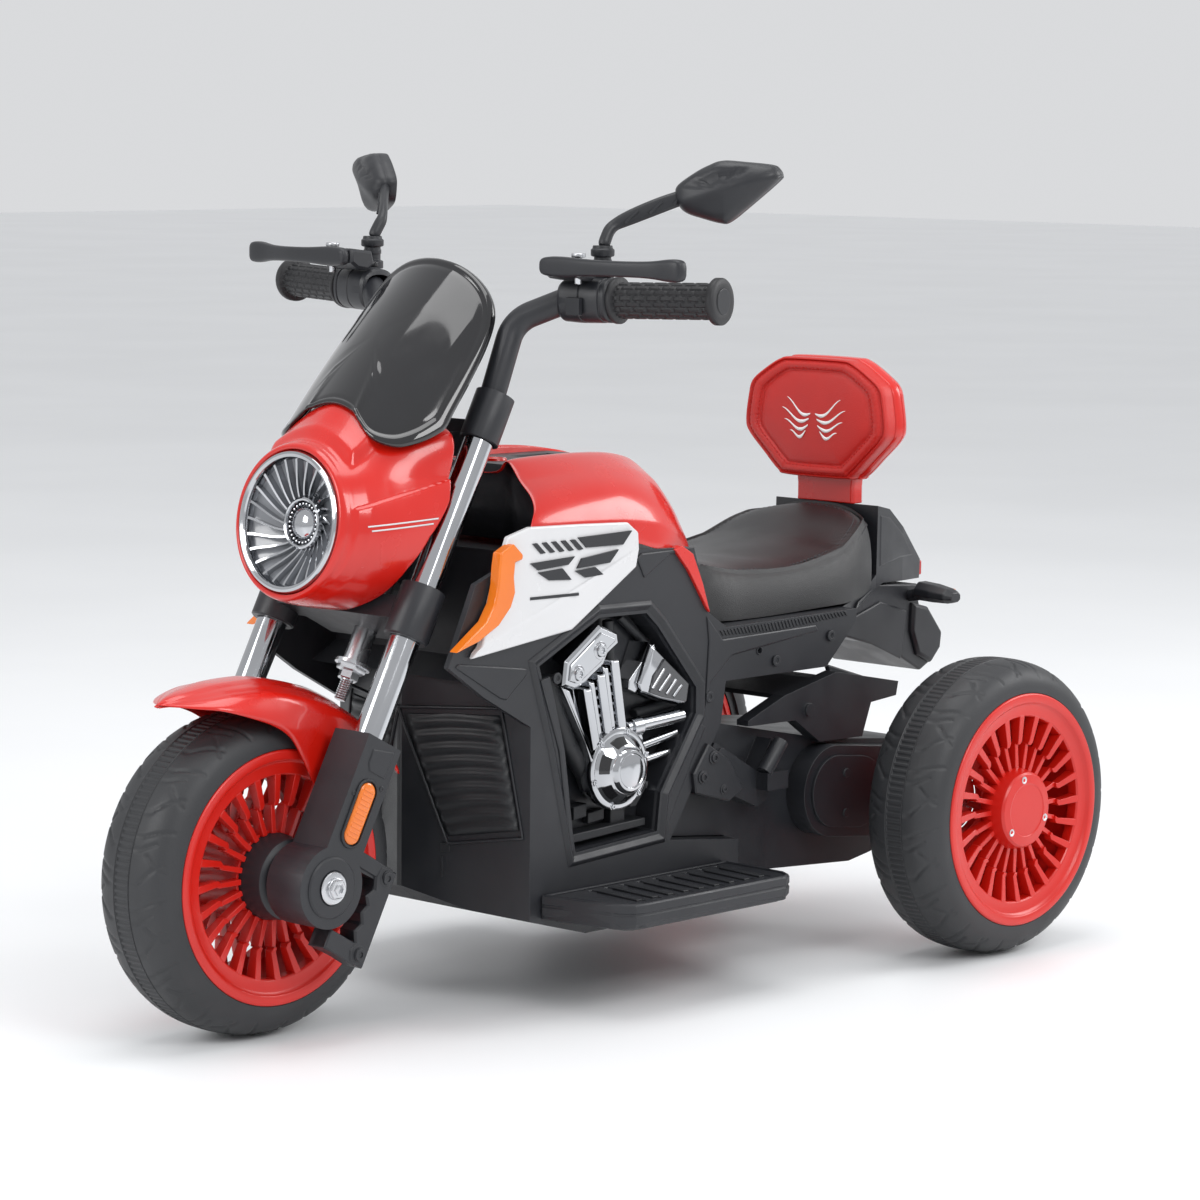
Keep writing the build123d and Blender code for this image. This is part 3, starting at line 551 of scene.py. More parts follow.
def make_pod():
    columns = [i / 64 for i in range(65)]
    lip = [(60.2, 12), (60.2, 1.5), (60.6, 0), (61.6, -0.9), (63.4, -0.8), (64.8, 0.4)]
    points = []
    for i in range(288):
        angle = i * 1.25 - 90
        table_angle = angle if angle <= 90 else 180 - angle
        ring = list(lip)
        rear = look_up(POD_REAR_ANGLES, POD_REAR, table_angle)
        for share in columns:
            depth = 3 + (rear - 3) * share
            ring.append((pod_radius(table_angle, depth), depth))
        turn = math.radians(angle)
        points += [lamp_point(r * math.cos(turn), r * math.sin(turn), d) for r, d in ring]
    faces = grid_faces(288, len(lip) + len(columns), True)
    pod = new_piece("pod_shell", points, faces, RED, "steering", ["headlight_pod"], 60)
    shell(pod, 2.6)
    for side in (1, -1):
        for number, (top, length) in enumerate(((423.5, 68), (419.6, 60))):
            rows = []
            for k in range(25):
                x = 290 - number * 3 - length * k / 24
                for z in (top + (290 - x) * 0.05, top - 1.3 + (290 - x) * 0.05):
                    depth = (LAMP - Vector((x, 0, z))).dot(LAMP_OUT)
                    up = (Vector((x, 0, z)) - LAMP).dot(LAMP_UP)
                    angle = math.degrees(math.atan2(up, 80))
                    radius = pod_radius(angle, depth) + 0.25
                    rows.append((x, side * math.sqrt(radius ** 2 - up ** 2), z))
            stripe = new_piece(f"pod_stripe_{number}_{'left' if side > 0 else 'right'}", rows,
                               grid_faces(25, 2), WHITE, "steering")
            shell(stripe, 0.3, 0)


def make_lamp():
    ring = lamp_turned([(53.4, 11), (52.4, 4), (52.7, 0.5), (54.0, -1.8), (56.4, -2.8), (58.4, -2.0),
                        (59.6, 0), (59.8, 11)])
    cup = lamp_turned([(18.2, 26), (18.2, 16), (18.9, 14.2), (20.2, 13.6), (21.6, 14.4),
                       (22.2, 16.5), (22.2, 26)])
    dome = lamp_turned([(0.01, 11.4), (4, 11.7), (8, 12.8), (11.5, 14.6), (13.6, 17), (14.2, 20),
                        (14.2, 26), (0.01, 26)])
    fins = []
    for i in range(24):
        rows = []
        for k in range(13):
            s = k / 12
            radius = 53.2 - 31.5 * s
            top = 1.6 + 15.0 * s ** 1.15
            angle = 2 * math.pi * i / 24 + math.radians(20) * s ** 1.6
            half = (1.15 - 0.35 * s) / radius
            for turn, depth in ((-half, top), (half, top), (half * 0.6, top + 8),
                                (-half * 0.6, top + 8)):
                rows.append(lamp_point(radius * math.cos(angle + turn),
                                       radius * math.sin(angle + turn), depth))
        fins.append((rows, grid_faces(13, 4, False, True)))
    bezel = new_piece("lamp_turbine", *joined(ring, cup, dome, *fins), CHROME, "steering",
                      ["headlight_bezel"], 40)
    round_edges(bezel, 0.35)
    beads = []
    for i in range(26):
        angle = 2 * math.pi * i / 26
        beads.append(lamp_turned_at([(0.05, -1.4), (1.0, -1.0), (1.4, 0), (1.4, 3), (0.05, 3)],
                                    16.3 * math.cos(angle), 16.3 * math.sin(angle), 17, 10))
    new_piece("lamp_beads", *joined(*beads), CHROME, "steering")
    back = lamp_turned([(53.6, 9), (48, 11), (30, 20), (18, 26.5), (18, 28), (53.6, 28)])
    floor = lamp_turned([(0.01, 21.5), (18.6, 21.5), (18.6, 26), (0.01, 26)], 48)
    new_piece("lamp_reflector", *joined(back, floor), LENS, "steering", ["headlight_lens"])


def lamp_turned_at(profile, across, up, depth, segments):
    points = []
    for i in range(segments):
        angle = 2 * math.pi * i / segments
        points += [lamp_point(across + r * math.cos(angle), up + r * math.sin(angle), depth + d)
                   for r, d in profile]
    return points, grid_faces(segments, len(profile), True, True)


# ---- wind screen ---------------------------------------------------------------------
SCREEN_OUTLINE = [(83, 0), (84.5, 14), (89, 28), (98, 40), (104.5, 51), (105, 62), (99.5, 73),
                  (86, 82), (71, 87.5), (63, 89), (50, 88.5), (15, 87), (-20, 84), (-46, 78.5),
                  (-62, 69), (-73, 54), (-80, 34), (-82.5, 14)]


def screen_height(x, y):
    ridge = 1.3 * math.exp(-((abs(y) - 22 - 0.08 * x) / 2.6) ** 2) * step(-40, 60, x)
    return math.sqrt(110.0 ** 2 - y * y) - 110.0 - 3.0 * (x / 82) ** 2 + ridge


def screen_point(x, y, z):
    return 203 + 0.7009 * x + 0.7133 * z, y, 580 - 0.7133 * x + 0.7009 * z


def make_screen():
    other = [(x, -y) for x, y in reversed(SCREEN_OUTLINE) if y > 0]
    outline = closed_curve(SCREEN_OUTLINE + [(-83, 0)] + other, 6)
    rings = [(0.02, 0), (0.12, 0), (0.25, 0), (0.38, 0), (0.5, 0), (0.6, 0), (0.7, 0), (0.78, 0),
             (0.85, 0), (0.895, -0.1), (0.91, -0.6), (0.922, -0.5), (0.935, 0.8), (0.96, 1.5),
             (0.985, 0.9), (1.0, -1.4)]
    points = []
    for share, lift in rings:
        for x, y in outline:
            px, py = 8 + (x - 8) * share, y * share
            points.append(screen_point(px, py, screen_height(px, py) + lift))
    screen = new_piece("screen_shell", points, ring_faces(len(rings), len(outline)),
                       GLOSS_BLACK, "steering", ["windshield"], 50)
    shell(screen, 4.2)


# ---- tank ----------------------------------------------------------------------------
TANK_CAGE = [
    [(108, 0, 454), (108, 47, 454), (110, 50.5, 464), (108, 58, 467.5), (117, 78, 450),
     (121, 97, 441), (130, 112, 428), (144, 118.5, 417), (142, 118.5, 400)],
    [(96, 0, 454), (96, 47, 454), (96, 50.5, 466), (96, 58, 469.5), (100, 82, 452),
     (102, 100, 443), (106, 113, 430), (112, 119, 417), (112, 119, 400)],
    [(28, 0, 455), (28, 45, 455), (28, 48, 467), (28, 55, 470), (28, 83, 456),
     (28, 102, 446), (28, 114.5, 431), (24, 119, 414), (24, 119, 398)],
    [(-20, 0, 456), (-20, 42, 456), (-20, 45, 465.5), (-22, 51, 467), (-22, 78, 453),
     (-20, 98, 440), (-18, 111, 424), (-14, 117.5, 409), (-10, 119.5, 385)],
    [(-45, 0, 456), (-45, 38, 456), (-46, 40, 461), (-48, 46, 461.5), (-48, 72, 447),
     (-46, 92, 432), (-42, 106, 417), (-36, 113, 402), (-34, 114.5, 383)],
    [(-66, 0, 460), (-66, 24, 459.5), (-68, 34, 458), (-70, 42, 454), (-70, 66, 438),
     (-68, 86, 420), (-62, 99, 406), (-57, 106, 393), (-55, 107, 379)],
    [(-97, 0, 437), (-97, 20, 436), (-97, 30, 434), (-96, 38, 429), (-93, 56, 417),
     (-89, 73, 403), (-84, 86, 394), (-80, 94, 388), (-76, 100, 381)],
    [(-111, 0, 413), (-111, 18, 412.6), (-110, 26, 411.5), (-109, 33, 408), (-106, 48, 399),
     (-102, 63, 391), (-98, 74, 385), (-95, 80, 382), (-92, 86, 378)],
]


def make_tank():
    width = 2 * len(TANK_CAGE[0]) - 1
    points = []
    for row in TANK_CAGE:
        points += [(x, -y, z) for x, y, z in reversed(row[1:])] + row
    tank = new_piece("tank_skin", points, grid_faces(len(TANK_CAGE), width), RED, "chassis",
                     ["tank_cover"], 60)
    middle = width // 2
    along = []
    for i in range(len(TANK_CAGE) - 1):
        for column in (1, 2, 4, 7):
            if column == 4 or i < 5:
                for sign in (1, -1):
                    a = i * width + middle + sign * column
                    along.append((a, a + width))
    crease(tank, along, 0.7)
    shell(tank, 2.2)
    subdivided(tank, 3)
    for sign, side in SIDES:
        blade = [(-34, 384), (-44, 387), (-58, 379), (-71, 352), (-81, 325), (-77, 329),
                 (-66, 345), (-52, 365)]
        near = prism([(x, z) for x, z in blade], sign * 112, sign * 121.4)
        round_edges(new_piece(f"tank_blade_{side}", *near, RED, "chassis"), 1.4, 3)


# ---- side panels with their lamps and stripes ----------------------------------------
def make_side_panel(sign, side):
    front = [(174, 124.6, 410), (148, 124.4, 416.5), (90, 124.6, 415), (28, 123.6, 412.5),
             (14, 122.8, 403), (14.5, 124.4, 389), (60, 126.4, 372), (150, 127.0, 340),
             (206, 126.4, 321), (192, 127.0, 366)]
    lower = [(14.5, 124.4, 389), (16, 122.6, 373), (95, 122.4, 325), (215, 123.0, 311),
             (212, 125.6, 316), (206, 126.4, 321), (150, 127.0, 340), (60, 126.4, 372)]
    ring = [(174, 410), (148, 416.5), (90, 415), (28, 412.5), (14, 403), (14.5, 389), (16, 373),
            (95, 325), (215, 311), (212, 316), (206, 321), (192, 366)]
    points = [(x, sign * y, z) for x, y, z in front + lower]
    faces = [tuple(range(len(front))), tuple(range(len(front), len(front) + len(lower)))]
    levels = {(x, z): y for x, y, z in front + lower}
    start = len(points)
    points += [(x, sign * levels[(x, z)], z) for x, z in ring]
    points += [(x, sign * 118.2, z) for x, z in ring]
    n = len(ring)
    faces += [(start + i, start + (i + 1) % n, start + n + (i + 1) % n, start + n + i)
              for i in range(n)]
    faces.append(tuple(start + n + i for i in range(n)))
    nodes = ["side_panels"] if sign > 0 else []
    panel = new_piece(f"side_panel_{side}", points, faces, WHITE, "chassis", nodes, 25)
    round_edges(panel, 1.8, 3, 4)
    lamp = [(174, 405), (163, 395), (163.5, 391), (172, 389), (173.5, 377), (172, 364),
            (177, 352), (191, 338), (214, 326.5), (240, 319), (206, 342), (196, 357), (192, 372),
            (191, 386), (189, 398)]
    nodes = ["side_lights"] if sign > 0 else []
    outer = prism(lamp, sign * 120, sign * 131.2)
    round_edges(new_piece(f"side_lamp_{side}", *outer, AMBER, "chassis", nodes), 1.6, 3)
    stripes = []
    for k in range(5):
        x = 147 - 11.4 * k
        stripes.append(prism([(x, 402.5), (x - 5, 402.8), (x - 15.5, 393.8), (x - 10, 393.4)],
                             sign * 124.2, sign * 126.1))
    for outline in ([(92, 404), (26, 405.5), (37, 394.2), (82, 394.8)],
                    [(150, 386.3), (97, 388.5), (105, 382), (141, 380)],
                    [(128, 370.5), (141, 378), (112, 379.5), (101, 369)],
                    [(88, 386), (43, 390.5), (54, 380), (94, 378)],
                    [(96, 376), (72, 377.5), (62, 370.5), (84, 369.5)],
                    [(150.5, 357.9), (92, 357.2), (92, 354.8), (150.5, 355.5)]):
        face = 126.2 if outline[0][1] > 392 else 127.0
        stripes.append(prism(outline, sign * 124.2, sign * face))
    new_piece(f"panel_stripes_{side}", *joined(*stripes), BLACK, "chassis")


make_pod()
make_lamp()
make_screen()
make_tank()
make_side_panel(1, "left")
make_side_panel(-1, "right")


# ---- saddle and backrest -------------------------------------------------------------
SEAT_X = [-372, -338, -297, -230, -160, -108, -80]
SEAT_TOP = [396, 388, 370, 359, 360, 368, 372]
SEAT_SEAM = [(-84, 26), (-88, 46), (-99, 64), (-124, 79), (-160, 85), (-230, 87.5), (-290, 85.5),
             (-322, 79), (-344, 70), (-357, 60), (-366, 44), (-369, 20)]
SEAT_BASE = [(-82, 32), (-84, 56), (-93, 78), (-118, 96), (-160, 100), (-230, 100.5),
             (-285, 100), (-314, 94), (-336, 86), (-356, 75), (-371, 55), (-376, 24)]
SEAT_BASE_Z = [(-376, 336), (-338, 320), (-290, 314.5), (-100, 312.5), (-80, 330)]


def both_halves(points):
    return points + [(x, -y) for x, y in reversed(points)]


def seam_drop(x, y):
    half = look_up([-369, -344, -290, -230, -124, -88], [44, 70, 85.5, 87.5, 79, 46], x)
    return 6.5 * min(1.3, abs(y) / half) ** 2.6


def seat_height(x, y):
    return look_up(SEAT_X, SEAT_TOP, x) - seam_drop(x, y)


def stitch_row(path, normals, length, gap, width, height):
    """A row of raised stitches along a path of points, each lying along the seam."""
    parts, travelled, last = [], 0.0, None
    for i, point in enumerate(path):
        here = Vector(point)
        if last is not None:
            travelled += (here - last).length
        last = here
        if travelled < length + gap:
            continue
        travelled = 0.0
        along = (Vector(path[(i + 1) % len(path)]) - Vector(path[i - 1])).normalized()
        normal = Vector(normals[i]).normalized()
        aside = along.cross(normal).normalized()
        corners = []
        for lift, taper in ((-0.6, 1.0), (height, 0.62)):
            for u, v in ((-1, -1), (1, -1), (1, 1), (-1, 1)):
                corners.append(tuple(here + along * (u * length / 2 * taper)
                                     + aside * (v * width / 2 * taper) + normal * lift))
        parts.append((corners, BOX_FACES))
    return joined(*parts)


def make_seat():
    random.seed(7)
    seam = closed_curve(both_halves(SEAT_SEAM), 22)
    base = closed_curve(both_halves(SEAT_BASE), 22)
    count = len(seam)
    centre = (-225.0, 0.0)
    points = []
    inner = [0.02, 0.14, 0.26, 0.38, 0.5, 0.6, 0.68, 0.75, 0.81, 0.86, 0.9, 0.93, 0.95, 0.965, 0.98]
    waves = [(random.uniform(0.05, 0.11), random.uniform(0, 6.3), random.uniform(0.15, 0.5))
             for _ in range(7)]
    for share in inner:
        for k, (x, y) in enumerate(seam):
            px, py = centre[0] + (x - centre[0]) * share, y * share
            puff = 2.2 * math.sin(math.pi * min(1, (1 - share) * 3.2) / 2)
            pull = 0.14 * math.sin(k * 1.05) * step(0.84, 0.97, share)
            drift = sum(a * math.sin(px * w + py * w * 0.7 + b) for w, b, a in waves) * 0.5
            points.append((px, py, seat_height(px, py) + puff + pull + drift - 1.0))
    for out, lift in ((0.0, -1.4), (0.7, -0.1), (1.5, 1.3), (2.6, 1.6), (3.7, 0.9), (4.3, -0.7)):
        for x, y in seam:
            away = Vector((x - centre[0], y * 1.9)).normalized()
            points.append((x + away.x * out * 0.6, y + away.y * out * 0.6,
                           seat_height(x, y) + lift - 0.6))
    sides = [0.03, 0.08, 0.14, 0.22, 0.32, 0.44, 0.56, 0.68, 0.8, 0.9, 0.96, 1.0]
    for share in sides:
        for k, ((x, y), (bx, by)) in enumerate(zip(seam, base)):
            away = Vector((x - centre[0], y * 1.9)).normalized()
            sx, sy = x + away.x * 2.6, y + away.y * 2.6
            swell = math.sin(math.pi * share ** 0.75) * 2.4
            spread = share ** 0.62
            low = look_up([p[0] for p in SEAT_BASE_Z], [p[1] for p in SEAT_BASE_Z], bx)
            high = seat_height(x, y) - 2.2
            pull = 0.12 * math.sin(k * 1.05) * (1 - step(0.05, 0.3, share))
            px = sx + (bx - sx) * spread + away.x * (swell + pull)
            py = sy + (by - sy) * spread + away.y * (swell + pull)
            points.append((px, py, high + (low - high) * share))
    for share in (0.96, 0.8, 0.05):
        for bx, by in base:
            low = look_up([p[0] for p in SEAT_BASE_Z], [p[1] for p in SEAT_BASE_Z], bx)
            points.append((centre[0] + (bx - centre[0]) * share, by * share, low - 0.2))
    rings = len(inner) + 6 + len(sides) + 3
    seat = new_piece("saddle_cover", points, ring_faces(rings, count, True, True), SEAT, "chassis",
                     ["seat_cushion"], 70)
    rows = []
    for share, inside in ((0.93, True), (1.0, False)):
        path, normals = [], []
        for x, y in closed_curve(both_halves(SEAT_SEAM), 60):
            if inside:
                px, py = centre[0] + (x - centre[0]) * 0.945, y * 0.945
                path.append((px, py, seat_height(px, py) - 0.2))
                normals.append((0, 0, 1))
            else:
                away = Vector((x - centre[0], y * 1.9)).normalized()
                path.append((x + away.x * 5.4, y + away.y * 5.4, seat_height(x, y) - 5.2))
                normals.append((away.x, away.y, 0.5))
        rows.append(stitch_row(path, normals, 3.4, 1.5, 0.9, 0.45))
    new_piece("saddle_stitches", *joined(*rows), THREAD, "chassis")


REST_HALF = [(30, 532.5), (46, 530), (66, 519), (80, 508), (84.5, 494), (87.5, 470), (83, 458),
             (64, 440), (46, 424), (34, 420)]
REST_CENTRE = 477.0


def rest_outline(steps):
    return closed_curve(REST_HALF + [(-y, z) for y, z in reversed(REST_HALF)], steps)


def rest_rings(rings, outline):
    points = []
    for share, x in rings:
        points += [(x, y * share, REST_CENTRE + (z - REST_CENTRE) * share) for y, z in outline]
    return points


def make_backrest():
    outline = rest_outline(20)
    count = len(outline)
    rings = [(0.02, -356.2), (0.15, -356.3), (0.3, -356.6), (0.45, -357.0), (0.58, -357.6),
             (0.68, -358.1), (0.74, -358.8), (0.765, -359.4), (0.78, -360.2), (0.79, -360.0),
             (0.8, -359.0), (0.825, -357.8), (0.855, -357.2), (0.885, -357.2), (0.915, -357.8),
             (0.935, -359.2), (0.945, -360.2), (0.955, -359.6), (0.968, -358.4), (0.985, -358.8),
             (0.995, -360.4), (1.0, -363), (1.0, -368), (0.995, -373.5), (0.9, -373.8),
             (0.02, -373.8)]
    points = []
    for number, (share, x) in enumerate(rings):
        for k, (y, z) in enumerate(outline):
            pucker = 0.08 * math.sin(k * 1.3) if 7 < number < 18 else 0.0
            points.append((x + pucker, y * share, REST_CENTRE + (z - REST_CENTRE) * share))
    pad = new_piece("backrest_cover", points, ring_faces(len(rings), count, True, True), PAD_RED,
                    "chassis", ["backrest_pad"], 70)
    rows = []
    for share, x in ((0.75, -359.6), (0.812, -358.0), (0.93, -358.4)):
        path = rest_rings([(share, x)], rest_outline(60))
        rows.append(stitch_row(path, [(1, 0, 0)] * len(path), 2.6, 1.3, 0.8, 0.5))
    new_piece("backrest_stitches", *joined(*rows), THREAD_RED, "chassis")
    blades = []
    for side in (1, -1):
        for base, length, rise, start in ((480, 30, 10, 3), (475, 34, 5, 5), (469, 30, 0, 6),
                                          (463.5, 20, -5, 9)):
            lower, upper = [], []
            for k in range(17):
                t = k / 16
                y = side * (start + length * t)
                z = base + rise * t - 4.5 * math.sin(math.pi * 1.5 * t)
                half = 1.9 * (1 - t) ** 0.7 * min(1, 0.25 + 3 * t) + 0.12
                lower.append((-355.7 - 1.2 * t, y, z - half))
                upper.append((-355.7 - 1.2 * t, y, z + half))
            blades.append((lower + upper, grid_faces(2, 17)))
    emblem = new_piece("backrest_print", *joined(*blades), PRINT, "chassis")
    shell(emblem, 0.3, 0)
    back = [(0.02, -372.2), (0.965, -372.2), (0.99, -372.6), (1.005, -373.4), (1.02, -376),
            (1.022, -381.2), (1.012, -382), (1.012, -382.8), (1.02, -383.6), (1.01, -387),
            (0.985, -390), (0.94, -391.4), (0.6, -392), (0.02, -392)]
    tray = new_piece("backrest_tray", rest_rings(back, outline),
                     ring_faces(len(back), count, True, True), RED, "chassis",
                     ["backrest_shell"], 40)
    round_edges(tray, 0.5)
    neck = [(-390.5, 33), (-390.5, -33), (-388, -35), (-377, -35), (-374.5, -33), (-374.5, 33),
            (-377, 35), (-388, 35)]
    column = []
    for z, grow in ((396, 0.5), (399, 0), (412, 0), (424, 1.5), (432, 3)):
        column += [(x, y * (1 + grow / 35), z) for x, y in neck]
    faces = bar_faces(5, 8)
    round_edges(new_piece("backrest_neck", column, faces, RED, "chassis"), 1.2, 3)


# ---- front mudguard ------------------------------------------------------------------
FENDER = [
    [(449, 0, 284), (449, 1.5, 283.6), (448.5, 2.5, 283)],
    [(438, 0, 289), (434, 17, 285), (432, 26, 281)],
    [(420, 0, 293), (416, 31, 287), (415, 41, 279)],
    [(396, 0, 296.5), (393, 40, 288.5), (392, 49, 272)],
    [(370, 0, 297.5), (367, 44, 288), (368, 51.5, 263)],
    [(350, 0, 297), (349, 46, 285), (350, 52, 251)],
    [(332, 0, 294), (333, 47, 281), (337, 52, 232)],
    [(315, 0, 290), (317, 47.5, 276), (322, 52, 206)],
    [(302, 0, 286), (304, 47.5, 271), (313, 52, 203)],
    [(286, 0, 279), (288, 47.5, 264), (297, 52, 234)],
    [(264, 0, 267), (266, 47, 253), (271, 52, 237)],
    [(241, 0, 250), (243, 46, 238), (247, 51, 228)],
    [(223, 0, 225), (225, 44, 215), (227, 49, 208)],
]


def make_fender():
    rows = []
    steps = 6
    for i in range(len(FENDER) - 1):
        last = i == len(FENDER) - 2
        for j in range(steps + 1 if last else steps):
            t = j / steps
            row = []
            for column in range(3):
                four = [FENDER[min(max(i + k, 0), len(FENDER) - 1)][column] for k in (-1, 0, 1, 2)]
                row.append(tuple(catmull(*values, t) for values in zip(*four)))
            rows.append(row)
    width, points = 33, []
    for centre, shoulder, edge in rows:
        for k in range(width):
            v = 2 * k / (width - 1) - 1
            side, a = (1 if v > 0 else -1), abs(v)
            if a < 0.62:
                s = a / 0.62
                y = shoulder[1] * s
                x = centre[0] + (shoulder[0] - centre[0]) * s
                z = centre[2] - (centre[2] - shoulder[2]) * s ** 2.3 - 1.2 * step(0.3, 0.42, s) \
                    * (1 - step(0.75, 0.95, s))
            else:
                s = (a - 0.62) / 0.38
                y = shoulder[1] + (edge[1] - shoulder[1]) * math.sin(s * math.pi / 2)
                x = shoulder[0] + (edge[0] - shoulder[0]) * s
                z = shoulder[2] + (edge[2] - shoulder[2]) * s ** 1.15
            points.append((x, side * y, z))
    guard = new_piece("fender_skin", points, grid_faces(len(rows), width), RED, "steering",
                      ["front_fender"], 60)
    shell(guard, 2.4)
    lines = []
    for side in (1, -1):
        for near in (0.30, 0.36):
            strip = []
            for centre, shoulder, _ in rows[42:60]:
                for s in (near, near + 0.025):
                    strip.append((centre[0] + (shoulder[0] - centre[0]) * s,
                                  side * shoulder[1] * s,
                                  centre[2] - (centre[2] - shoulder[2]) * s ** 2.3 + 0.35
                                  - 1.2 * step(0.3, 0.42, s)))
            lines.append((strip, grid_faces(18, 2)))
        stay = rod_mesh((307, side * 49, 223.5), (307, side * 61.9, 223.5), 7.5, 24)
        round_edges(new_piece(f"fender_stay_{'left' if side > 0 else 'right'}", *stay, RED,
                              "steering"), 0.6)
    shell(new_piece("fender_stripes", *joined(*lines), PRINT, "steering"), 0.3, 0)


def rod_mesh(start, end, radius, segments=24, radius_end=None):
    """A round bar between two points, closed at both ends."""
    a, b = Vector(start), Vector(end)
    along = (b - a).normalized()
    across = along.orthogonal().normalized()
    other = along.cross(across)
    points = []
    for at, r in ((a, radius), (b, radius if radius_end is None else radius_end)):
        for i in range(segments):
            angle = 2 * math.pi * i / segments
            points.append(tuple(at + across * (r * math.cos(angle)) + other * (r * math.sin(angle))))
    faces = grid_faces(2, segments, False, True)
    ends = [tuple(range(segments)), tuple(range(2 * segments - 1, segments - 1, -1))]
    return points, faces + ends


# ---- handlebar fittings --------------------------------------------------------------
BAR_IN = Vector((87.6, 160.0, 605.2))
BAR_OUT = Vector((64.5, 263.0, 607.5))


def on_bar(distance, radius, angle, side):
    along = (BAR_OUT - BAR_IN).normalized()
    up = Vector((0, 0, 1))
    fore = along.cross(up).normalized()
    up = fore.cross(along).normalized()
    point = BAR_IN + along * distance + fore * (radius * math.cos(angle)) \
        + up * (radius * math.sin(angle))
    return point.x, side * point.y, point.z


def grip_radius(distance, angle):
    """Rows of raised lozenges, each row set half a pitch from the next."""
    row = angle / (2 * math.pi) * 18
    shift = 6.5 * (int(math.floor(row)) % 2)
    u = ((distance + shift) % 13.0) / 13.0
    v = row % 1.0
    inside = min(step(0.04, 0.14, u), step(0.04, 0.14, 1 - u), step(0.06, 0.24, v),
                 step(0.06, 0.24, 1 - v))
    return 14.2 + 1.1 * inside


def make_grips():
    for side, name in SIDES:
        profile = [(3.0, 11.4), (3.0, 19.0), (3.6, 19.6), (6.8, 19.6), (7.6, 18.8), (8.4, 15.2)]
        ends = [(96.6, 15.2), (97.6, 18.6), (98.6, 19.6), (103.2, 19.6), (104.4, 18.6),
                (104.8, 14.5), (104.8, 6), (104.2, 5.4), (104.2, 0.05)]
        segments, points = 144, []
        middle = [9.0 + 0.8 * k for k in range(109)]
        for i in range(segments):
            angle = 2 * math.pi * i / segments
            for distance, radius in profile:
                points.append(on_bar(distance, radius, angle, side))
            for distance in middle:
                points.append(on_bar(distance, grip_radius(distance, angle), angle, side))
            for distance, radius in ends:
                points.append(on_bar(distance, radius, angle, side))
        columns = len(profile) + len(middle) + len(ends)
        nodes = ["grips"] if side > 0 else []
        new_piece(f"grip_{name}", points, grid_faces(segments, columns, True), RUBBER, "steering",
                  nodes, 50)


LEVER = [(132, 118, 6.5, 5.5), (131.5, 128, 8.6, 5.2), (131, 145, 8.8, 4.8), (129.5, 165, 7.2, 4.2),
         (127, 190, 6.6, 3.8), (123, 215, 6.6, 3.8), (118, 234, 7.2, 4.4), (115.5, 246, 9.4, 6.0),
         (114.5, 256, 9.8, 6.6), (114, 264, 8.2, 5.0)]


def make_levers():
    for side, name in SIDES:
        points = []
        for x, y, high, thick in LEVER:
            for u, v in ((-1, -0.7), (-1, 0.7), (-0.7, 1), (0.7, 1), (1, 0.7), (1, -0.7), (0.7, -1),
                         (-0.7, -1)):
                points.append((x + thick * u, side * y, 633.5 + high * v))
        rows = len(LEVER)
        faces = bar_faces(rows, 8)
        blade = new_piece(f"lever_{name}", points, faces, BLACK, f"{name}_lever",
                          [f"brake_lever_{name}"])
        subdivided(blade, 2)


MIRROR_AT = Vector((6.0, 215.0, 697.0))
MIRROR_OUT = Vector((0.866, 0.5, 0.0))
MIRROR_E = Vector((-0.5, 0.866, 0.0))
MIRROR_HALF = [(-44.5, 3), (-45, -6), (-41.5, -15), (-35, -20), (-22, -24), (-7, -27.6), (1, -26.5),
               (18, -13), (42, 8), (44.5, 13), (42, 18), (36, 21.5), (14, 23.6), (-6, 24.6),
               (-18, 20.5), (-30, 14)]


def mirror_point(u, v, out, side):
    point = MIRROR_AT + MIRROR_E * u + MIRROR_OUT * out + Vector((0, 0, v))
    return point.x, side * point.y, point.z


